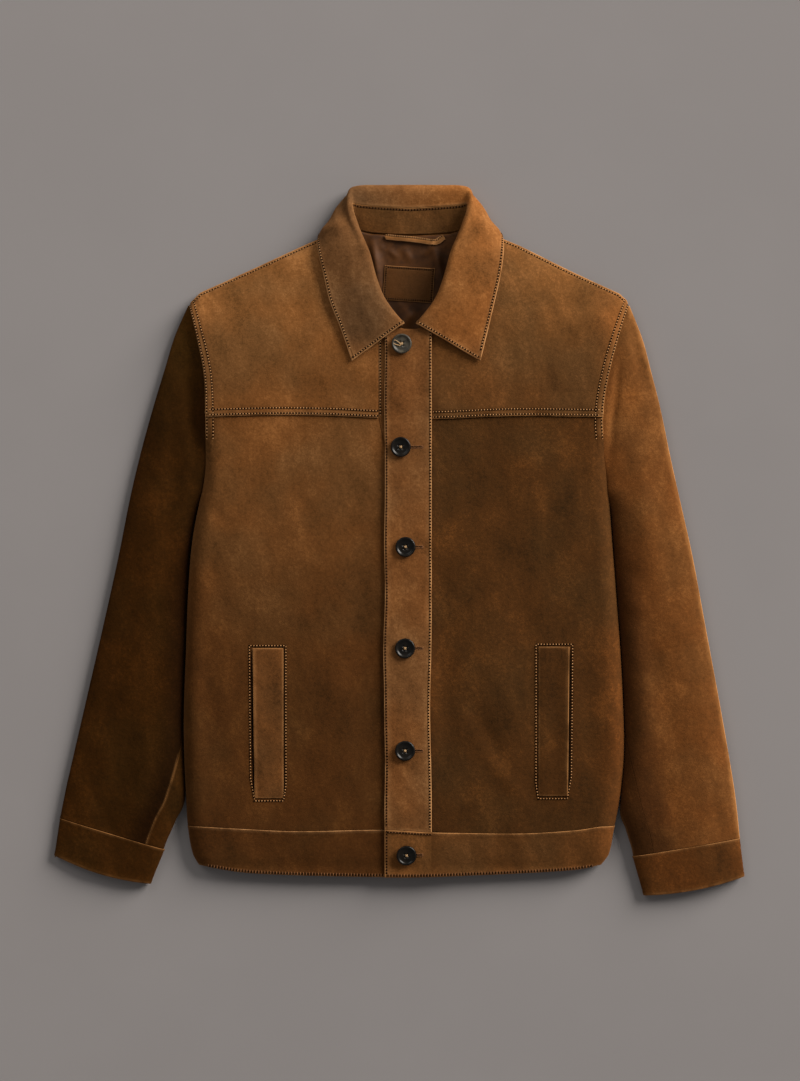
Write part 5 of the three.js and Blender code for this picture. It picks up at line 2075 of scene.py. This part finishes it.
# ---- Pockets ----
@dataclass
class Pocket:
    """A pocket's welt, set into the front, whose outer edge gapes a little."""

    hand: Hand
    outside: float
    inside: float
    slant: float
    foot: float
    head: float
    looks: Looks
    sewing: Sewing
    gape: float = 1.5
    set_in: float = 0.9
    outline: float = 2.6
    mouth: float = 2.1

    def surface(self, u: Array, v: Array) -> Array:
        """The welt's outer face, u from its mouth to its inner edge.

        Args:
            u: shares across.
            v: shares along.

        Returns:
            Points of the face.
        """
        x = lerp(self.outside - self.slant * (1 - v), self.inside, u)
        y = lerp(self.foot, self.head, v)
        gape = self.gape * (1 - smooth(0, 0.5, u)) * np.sin(math.pi * v) ** 0.7
        sunk = 0.55 * np.exp(-(((u - 1) * (self.inside - self.outside) / 2.2) ** 2))
        return stack(x, y, body_top(x, y) + self.set_in + gape - sunk)

    def welt(self) -> Panel:
        """The welt.

        Returns:
            The panel.
        """
        edges = {
            Side.U0: Edge(roll=0.8, rise=0.25, reach=3.0, rubbed=0.6),
            Side.U1: Edge(roll=0.6, rubbed=0.3),
        }
        edges |= dict.fromkeys((Side.V0, Side.V1), Edge(roll=0.7, rubbed=0.3))
        return Panel(f"suede_pocket_welt_{self.hand.word}", self.surface, edges=edges, step=2.6,
                     flip=self.hand is Hand.LEFT)

    def line(self, corners: list[tuple[float, float]], lift: float) -> Row:
        """A line on the front through some corners.

        Args:
            corners: the corners.
            lift: how far it lies above the front.

        Returns:
            The line.
        """
        corners = np.array(corners, float)
        measured = lengths(corners)
        at = np.linspace(0, measured[-1], 300)
        x, y = sample(corners, measured, at).T
        h = SLOPE_STEP
        slope = stack(body_top(x - h, y) - body_top(x + h, y), body_top(x, y - h) - body_top(x, y + h),
                      2 * h + 0 * x)
        return Row(stack(x, y, body_top(x, y) + lift), unit(slope))

    def build(self) -> None:
        """Makes the welt, the stitches round it, and strips of painted shade in its seam and its mouth."""
        made = self.welt().build()
        dye = self.looks.welt if self.hand is Hand.RIGHT else self.looks.second
        dress(made, dye, f"pocket_welt_{self.hand.word}")
        out = self.hand.value
        edge = self.outside + out * (self.mouth + 1.4)
        seam = self.inside - out * self.outline
        low, high = self.foot - self.outline, self.head + self.outline
        around = [(edge, high), (seam, high), (seam, low + 16), (seam + out * 2.6, low),
                  (edge - out * 5.5, low), (edge - out * 1.2, low + 24), (edge, high)]
        self.sewing.add(self.line(around, 0.02))
        # painted shade in the seam round the welt and in its open mouth
        gap = [(self.outside, self.head + 0.5), (self.inside - out * 0.5, self.head + 0.5),
               (self.inside - out * 0.5, self.foot - 0.5), (self.outside, self.foot - 0.5)]
        dark = Ribbon(f"pocket_seam_shade_{self.hand.word}", self.looks.hole)
        dark.build([(self.line(gap, 0.0), 1.1)])
        mouth = self.outside + out * self.mouth / 2
        foot = mouth - self.slant
        dark = Ribbon(f"pocket_mouth_shade_{self.hand.word}", self.looks.hole)
        dark.build([(self.line([(mouth, self.head - 3), (foot, self.foot + 3)], 0.0), self.mouth)])


@dataclass
class Ribbon:
    """Narrow closed strips that lie along lines on the cloth."""

    name: str
    finish: bpy.types.Material
    height: float = 0.14

    def build(self, lines: list[tuple[Row, float]]) -> None:
        """Makes one piece with a strip for each line, given with its width.

        Args:
            lines: the lines, each with its width.
        """
        joined = bmesh.new()
        for row, width in lines:
            count = max(2, int(lengths(row.points)[-1] / 1.5))
            at = np.linspace(0, 1, count)
            measured = lengths(row.points) / lengths(row.points)[-1]
            middle, out = (sample(values, measured, at) for values in (row.points, row.normals))
            aside = unit(np.cross(out, np.gradient(middle, axis=0)))
            narrow = (width / 2 * np.sqrt(np.minimum(1, 6 * np.minimum(at, 1 - at) + 0.05)))[:, None]
            ring = [middle - aside * narrow, middle + out * self.height, middle + aside * narrow,
                    middle - out * self.height]
            bm = bmesh.new()
            bmesh.ops.create_grid(bm, x_segments=count - 1, y_segments=4, size=1)
            for vertex in bm.verts:
                i = round((vertex.co.x + 1) / 2 * (count - 1))
                j = round((vertex.co.y + 1) * 2)
                vertex.co = ring[j % 4][i] * MM
            bmesh.ops.remove_doubles(bm, verts=bm.verts, dist=1e-7)
            bmesh.ops.holes_fill(bm, edges=[e for e in bm.edges if e.is_boundary], sides=8)
            bmesh.ops.recalc_face_normals(bm, faces=bm.faces)
            part = bpy.data.meshes.new(self.name)
            bm.to_mesh(part)
            bm.free()
            joined.from_mesh(part)
            bpy.data.meshes.remove(part)
        dress(object_from(joined, self.name), self.finish)


# ---- Buttons ----
@dataclass
class Buttons:
    """Six four-hole buttons, with their thread and their buttonholes."""

    looks: Looks
    radius: float = 10.8
    thick: float = 3.4
    rim: float = 2.4
    hole: float = 0.8
    spread: float = 1.4
    shank: float = 0.9
    holes_end: float = 24.5
    hole_start: float = 2.0

    def profile(self) -> list[tuple[float, float]]:
        """Radius and height from the foot's middle round the rim to the dish's middle.

        Returns:
            The corners of the outline.
        """
        r, t = self.radius, self.thick
        return [(0.0, 0.0), (r - 3.2, 0.0), (r - 1.5, t * 0.14), (r - 0.5, t * 0.34), (r, t * 0.55),
                (r - 0.15, t * 0.76), (r - 0.6, t * 0.92), (r - 1.2, t), (r - 1.8, t * 0.96),
                (r - self.rim, t * 0.82), (r - self.rim - 0.7, t * 0.64), (r - self.rim - 1.6, t * 0.56),
                (r - self.rim - 3.4, t * 0.53), (0.0, t * 0.53)]

    def disc(self) -> bpy.types.Mesh:
        """A button's mesh, with its four holes cut through.

        Returns:
            The mesh.
        """
        bm = bmesh.new()
        verts = [bm.verts.new((r * MM, 0, z * MM)) for r, z in self.profile()]
        edges = [bm.edges.new(pair) for pair in zip(verts, verts[1:])]
        bmesh.ops.spin(bm, geom=verts + edges, cent=(0, 0, 0), axis=(0, 0, 1), angle=2 * math.pi, steps=48)
        bmesh.ops.remove_doubles(bm, verts=bm.verts, dist=1e-7)
        bmesh.ops.recalc_face_normals(bm, faces=bm.faces)
        disc = object_from(bm, "disc")
        pins = bmesh.new()
        for a, b in ((1, 1), (1, -1), (-1, 1), (-1, -1)):
            place = Matrix.Translation((a * self.spread * MM, b * self.spread * MM, 0))
            bmesh.ops.create_cone(pins, cap_ends=True, segments=16, radius1=self.hole * MM,
                                  radius2=self.hole * MM, depth=4 * self.thick * MM, matrix=place)
        cutter = object_from(pins, "pins")
        cut = disc.modifiers.new("holes", "BOOLEAN")
        cut.operation = "DIFFERENCE"
        cut.object = cutter
        graph = bpy.context.evaluated_depsgraph_get()
        mesh = bpy.data.meshes.new_from_object(disc.evaluated_get(graph))
        for spare in (disc, cutter):
            bpy.data.objects.remove(spare)
        return mesh

    def build(self) -> None:
        """Makes the buttons, their threads and the buttonholes beside them."""
        mesh = self.disc()
        threads, slits, borders = [], [], []
        for number, (x, y) in enumerate(zip(BUTTONS.columns["x"], BUTTONS.key), start=1):
            h = 6.0
            slope = Vector((Bands.upper_top(x - h, y) - Bands.upper_top(x + h, y),
                            Bands.upper_top(x, y - h) - Bands.upper_top(x, y + h), 2 * h)).normalized()
            turn = Vector((0, 0, 1)).rotation_difference(slope)
            middle = Vector((x, y, float(Bands.upper_top(x, y)) + self.shank))
            twist = Matrix.Rotation(math.radians(7 * number % 23 - 9), 4, "Z")
            place = Matrix.Translation(middle * MM) @ turn.to_matrix().to_4x4() @ twist
            own = mesh.copy()
            own.transform(place)
            for polygon in own.polygons:
                polygon.use_smooth = True
            horn = self.looks.horn if number > 1 else self.looks.pale_horn
            dress(placed(f"horn_button_{number}", own), horn, f"button_{number}", slot="button")
            threads += self.thread_bars(place)
            if number > 1:
                self.buttonhole(x, y, slits, borders)
        bpy.data.meshes.remove(mesh)
        dress(scatter("button_threads", threads), self.looks.button_thread, slot="thread")
        dress(scatter("buttonhole_slit_shades", slits), self.looks.hole)
        dress(scatter("buttonhole_threads", borders), self.looks.dull_thread, slot="thread")

    def thread_bars(self, place: Matrix) -> list[tuple]:
        """The strands that cross a button from hole to hole.

        Args:
            place: the button's place.

        Returns:
            The strands as beads: a middle and three half axes each.
        """
        beads = []
        base = self.thick * 0.56 + 0.35
        for side in (-1, 1):
            for strand in (-0.3, 0.3):
                spot = place @ (Vector((side * strand, -side * strand, base)) * MM) / MM
                axes = [place.to_3x3() @ Vector(axis) for axis in
                        ((self.spread, side * self.spread, 0), (-side * 0.28, 0.28, 0), (0, 0, 0.35))]
                beads.append(tuple(np.array([v]) for v in (spot, *axes)))
        return beads

    def buttonhole(self, x: float, y: float, slits: list, borders: list) -> None:
        """Adds one keyhole buttonhole, of which the part beside the button shows.

        Args:
            x: the button's x.
            y: the button's y.
            slits: the slits of painted shade in the openings so far.
            borders: the sewn borders so far.
        """
        def spot(px: Array, py: Array, lift: float) -> Array:
            """Points just above the band."""
            return stack(px, py, Bands.upper_top(px, py) + lift)
        # a slit of painted shade along the buttonhole's opening
        ends = np.linspace(x + self.hole_start, self.holes_end - 1.0, 12)
        middle = spot(ends, np.full(12, y), 0.05)
        one = np.ones((12, 1))
        slits.append((middle, one * (1.4, 0, 0), one * (0, 0.45, 0), one * (0, 0, 0.22)))
        at = np.arange(x + self.hole_start, self.holes_end, 0.85)
        for side in (-1, 1):
            middle = spot(at, np.full(len(at), y + side * 1.15), 0.1)
            one = np.ones((len(at), 1))
            borders.append((middle, one * (0, 0.9, 0), one * (0.4, 0, 0), one * (0, 0, 0.25)))
        turns = np.linspace(-1.2, 1.2, 7)
        px, py = self.holes_end + 1.0 * np.cos(turns), y + 1.2 * np.sin(turns)
        ahead = stack(np.cos(turns), np.sin(turns), 0 * turns)
        aside = stack(-np.sin(turns), np.cos(turns), 0 * turns)
        up = np.ones((7, 1)) * (0, 0, 0.25)
        borders.append((spot(px, py, 0.1), ahead * 0.9, aside * 0.42, up))


@dataclass(frozen=True)
class LooseThread:
    """The loose loop of thread that lies in the top button."""

    route: tuple = ((2.2, 208.6, 2.9), (-0.8, 211.2, 3.8), (-4.2, 213.2, 3.9), (-6.4, 211.6, 3.8),
                    (-5.0, 209.2, 3.8), (-2.0, 208.2, 3.7), (1.2, 207.6, 3.2), (2.4, 210.4, 2.9))
    width: float = 1.0

    def build(self, finish: bpy.types.Material) -> None:
        """Makes the thread as a chain of beads along a smooth curve.

        Args:
            finish: its material.
        """
        table = Table("at point", *((i, p) for i, p in enumerate(self.route)))
        points = table.smooth("point", np.linspace(0, len(self.route) - 1, 90))
        points[:, 2] += Bands.upper_top(points[:, 0], points[:, 1])
        ahead = np.gradient(points, axis=0)
        aside = unit(np.cross(ahead, (0, 0, 1)))
        up = unit(np.cross(aside, ahead))
        beads = [(points, ahead * 1.1, aside * self.width / 2, up * self.width / 2)]
        dress(scatter("button_loose_thread", beads), finish, slot="thread")


# ---- The studio ----
@dataclass(frozen=True)
class Studio:
    """A pale floor, soft light and a camera straight above."""

    height: float = 3.2
    aim_height: float = 0.018
    scale: float = 1.075e-3
    long_side: int = 1081
    sensor: float = 36.0
    floor_size: float = 3.0
    centre: tuple[float, float] = (0.00107, -0.00107)

    def floor(self) -> None:
        """The surface that the jacket lies on."""
        bm = bmesh.new()
        bmesh.ops.create_grid(bm, x_segments=1, y_segments=1, size=self.floor_size)
        made = object_from(bm, "floor")
        finish = Plain("floor_paint", (132, 128, 128), (134, 130, 130), 0.9, scale=3.0, specular=0.1)
        made.data.materials.append(finish.material())

    def lamp(self, name: str, place: tuple, size: float, power: float, tint: tuple) -> None:
        """An area lamp that looks at the jacket.

        Args:
            name: the lamp's name.
            place: where it stands, in metres.
            size: its width in metres.
            power: its power in watts.
            tint: its colour.
        """
        data = bpy.data.lights.new(name, "AREA")
        data.shape = "DISK"
        data.size, data.energy, data.color = size, power, tint
        made = placed(name, data)
        made.location = place
        made.rotation_euler = (-Vector(place)).to_track_quat("-Z", "Y").to_euler()

    def build(self) -> None:
        """Makes the floor, the lamps, the world and the camera."""
        self.floor()
        self.lamp("key", (12.5, 9.9, 6.5), 11.2, 6050.0, (1.0, 0.955, 0.89))
        self.lamp("fill", (-2.4, 3.0, 3.0), 3.0, 46.0, (1.0, 0.97, 0.93))
        world = bpy.data.worlds.new("studio")
        bpy.context.scene.world = world
        world.use_nodes = True
        n = Nodes(world.node_tree)
        back = n.add("Background", {0: (1.0, 0.975, 0.94, 1.0), 1: 0.24})
        n.add("OutputWorld", {0: back.outputs[0]})
        data = bpy.data.cameras.new("camera")
        data.sensor_width = self.sensor
        data.lens = self.sensor * (self.height - self.aim_height) / (self.long_side * self.scale)
        made = placed("camera", data)
        made.location = (*self.centre, self.height)
        bpy.context.scene.camera = made
        bpy.context.scene.view_settings.view_transform = "Standard"
        log.info("studio is ready")


# ---- The jacket ----
class Jacket:
    """The whole jacket."""

    def __init__(self) -> None:
        """Makes the finishes and the sub-assemblies."""
        self.looks = Looks()
        dull = Sewing("dull_stitches", self.looks.dull_thread, self.looks.hole)
        ticks = Sewing("tick_stitches", self.looks.dull_thread, self.looks.hole, length=1.2, width=4.4,
                       hole_long=1.0, hole_wide=3.4)
        others = {"dull": dull, "ticks": ticks}
        self.sewing = Sewing("stitches", self.looks.thread, self.looks.hole, others=others)
        parts = (self.looks, self.sewing)
        self.body = Body(*parts)
        self.bands = Bands(*parts)
        self.sleeves = [
            # each form's fourth number is how far painted shade reaches in from the forearm seam
            Sleeve(Hand.RIGHT, SLEEVE_RIGHT, SLEEVE_RIGHT_FOLDS, (-371.8, -341), (-268, -371.4), 15, 5,
                   Form(0.4, 0.8, 3.2, 34, 0.24), *parts),
            # this form's last number is a painted highlight on the outer fold, which faces the lamp
            Sleeve(Hand.LEFT, SLEEVE_LEFT, SLEEVE_LEFT_FOLDS, (372.6, -363.5), (264, -384), 15, 4,
                   Form(0.85, 0.8, 1.2, 54, 0.0, 0.7), *parts),
        ]
        self.collar = Collar(*parts)
        self.neck = Neck(*parts)
        self.pockets = [
            Pocket(Hand.RIGHT, -157, -124, -2, -278, -116.5, *parts),
            Pocket(Hand.LEFT, 182.7, 149.5, 1.5, -275.6, -115, *parts),
        ]
        self.buttons = Buttons(self.looks)

    def build(self) -> None:
        """Makes every piece, and at last the stitches of all of them."""
        self.body.build()
        self.bands.build()
        for part in (*self.sleeves, self.collar, self.neck, *self.pockets, self.buttons):
            part.build()
        LooseThread().build(self.looks.button_thread)
        self.sewing.build()


def main() -> None:
    """Loads the solids, dresses them, and sets the studio up."""
    logging.basicConfig(level=logging.INFO, format="%(message)s")
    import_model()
    Jacket().build()
    Studio().build()


if __name__ == "__main__":
    main()
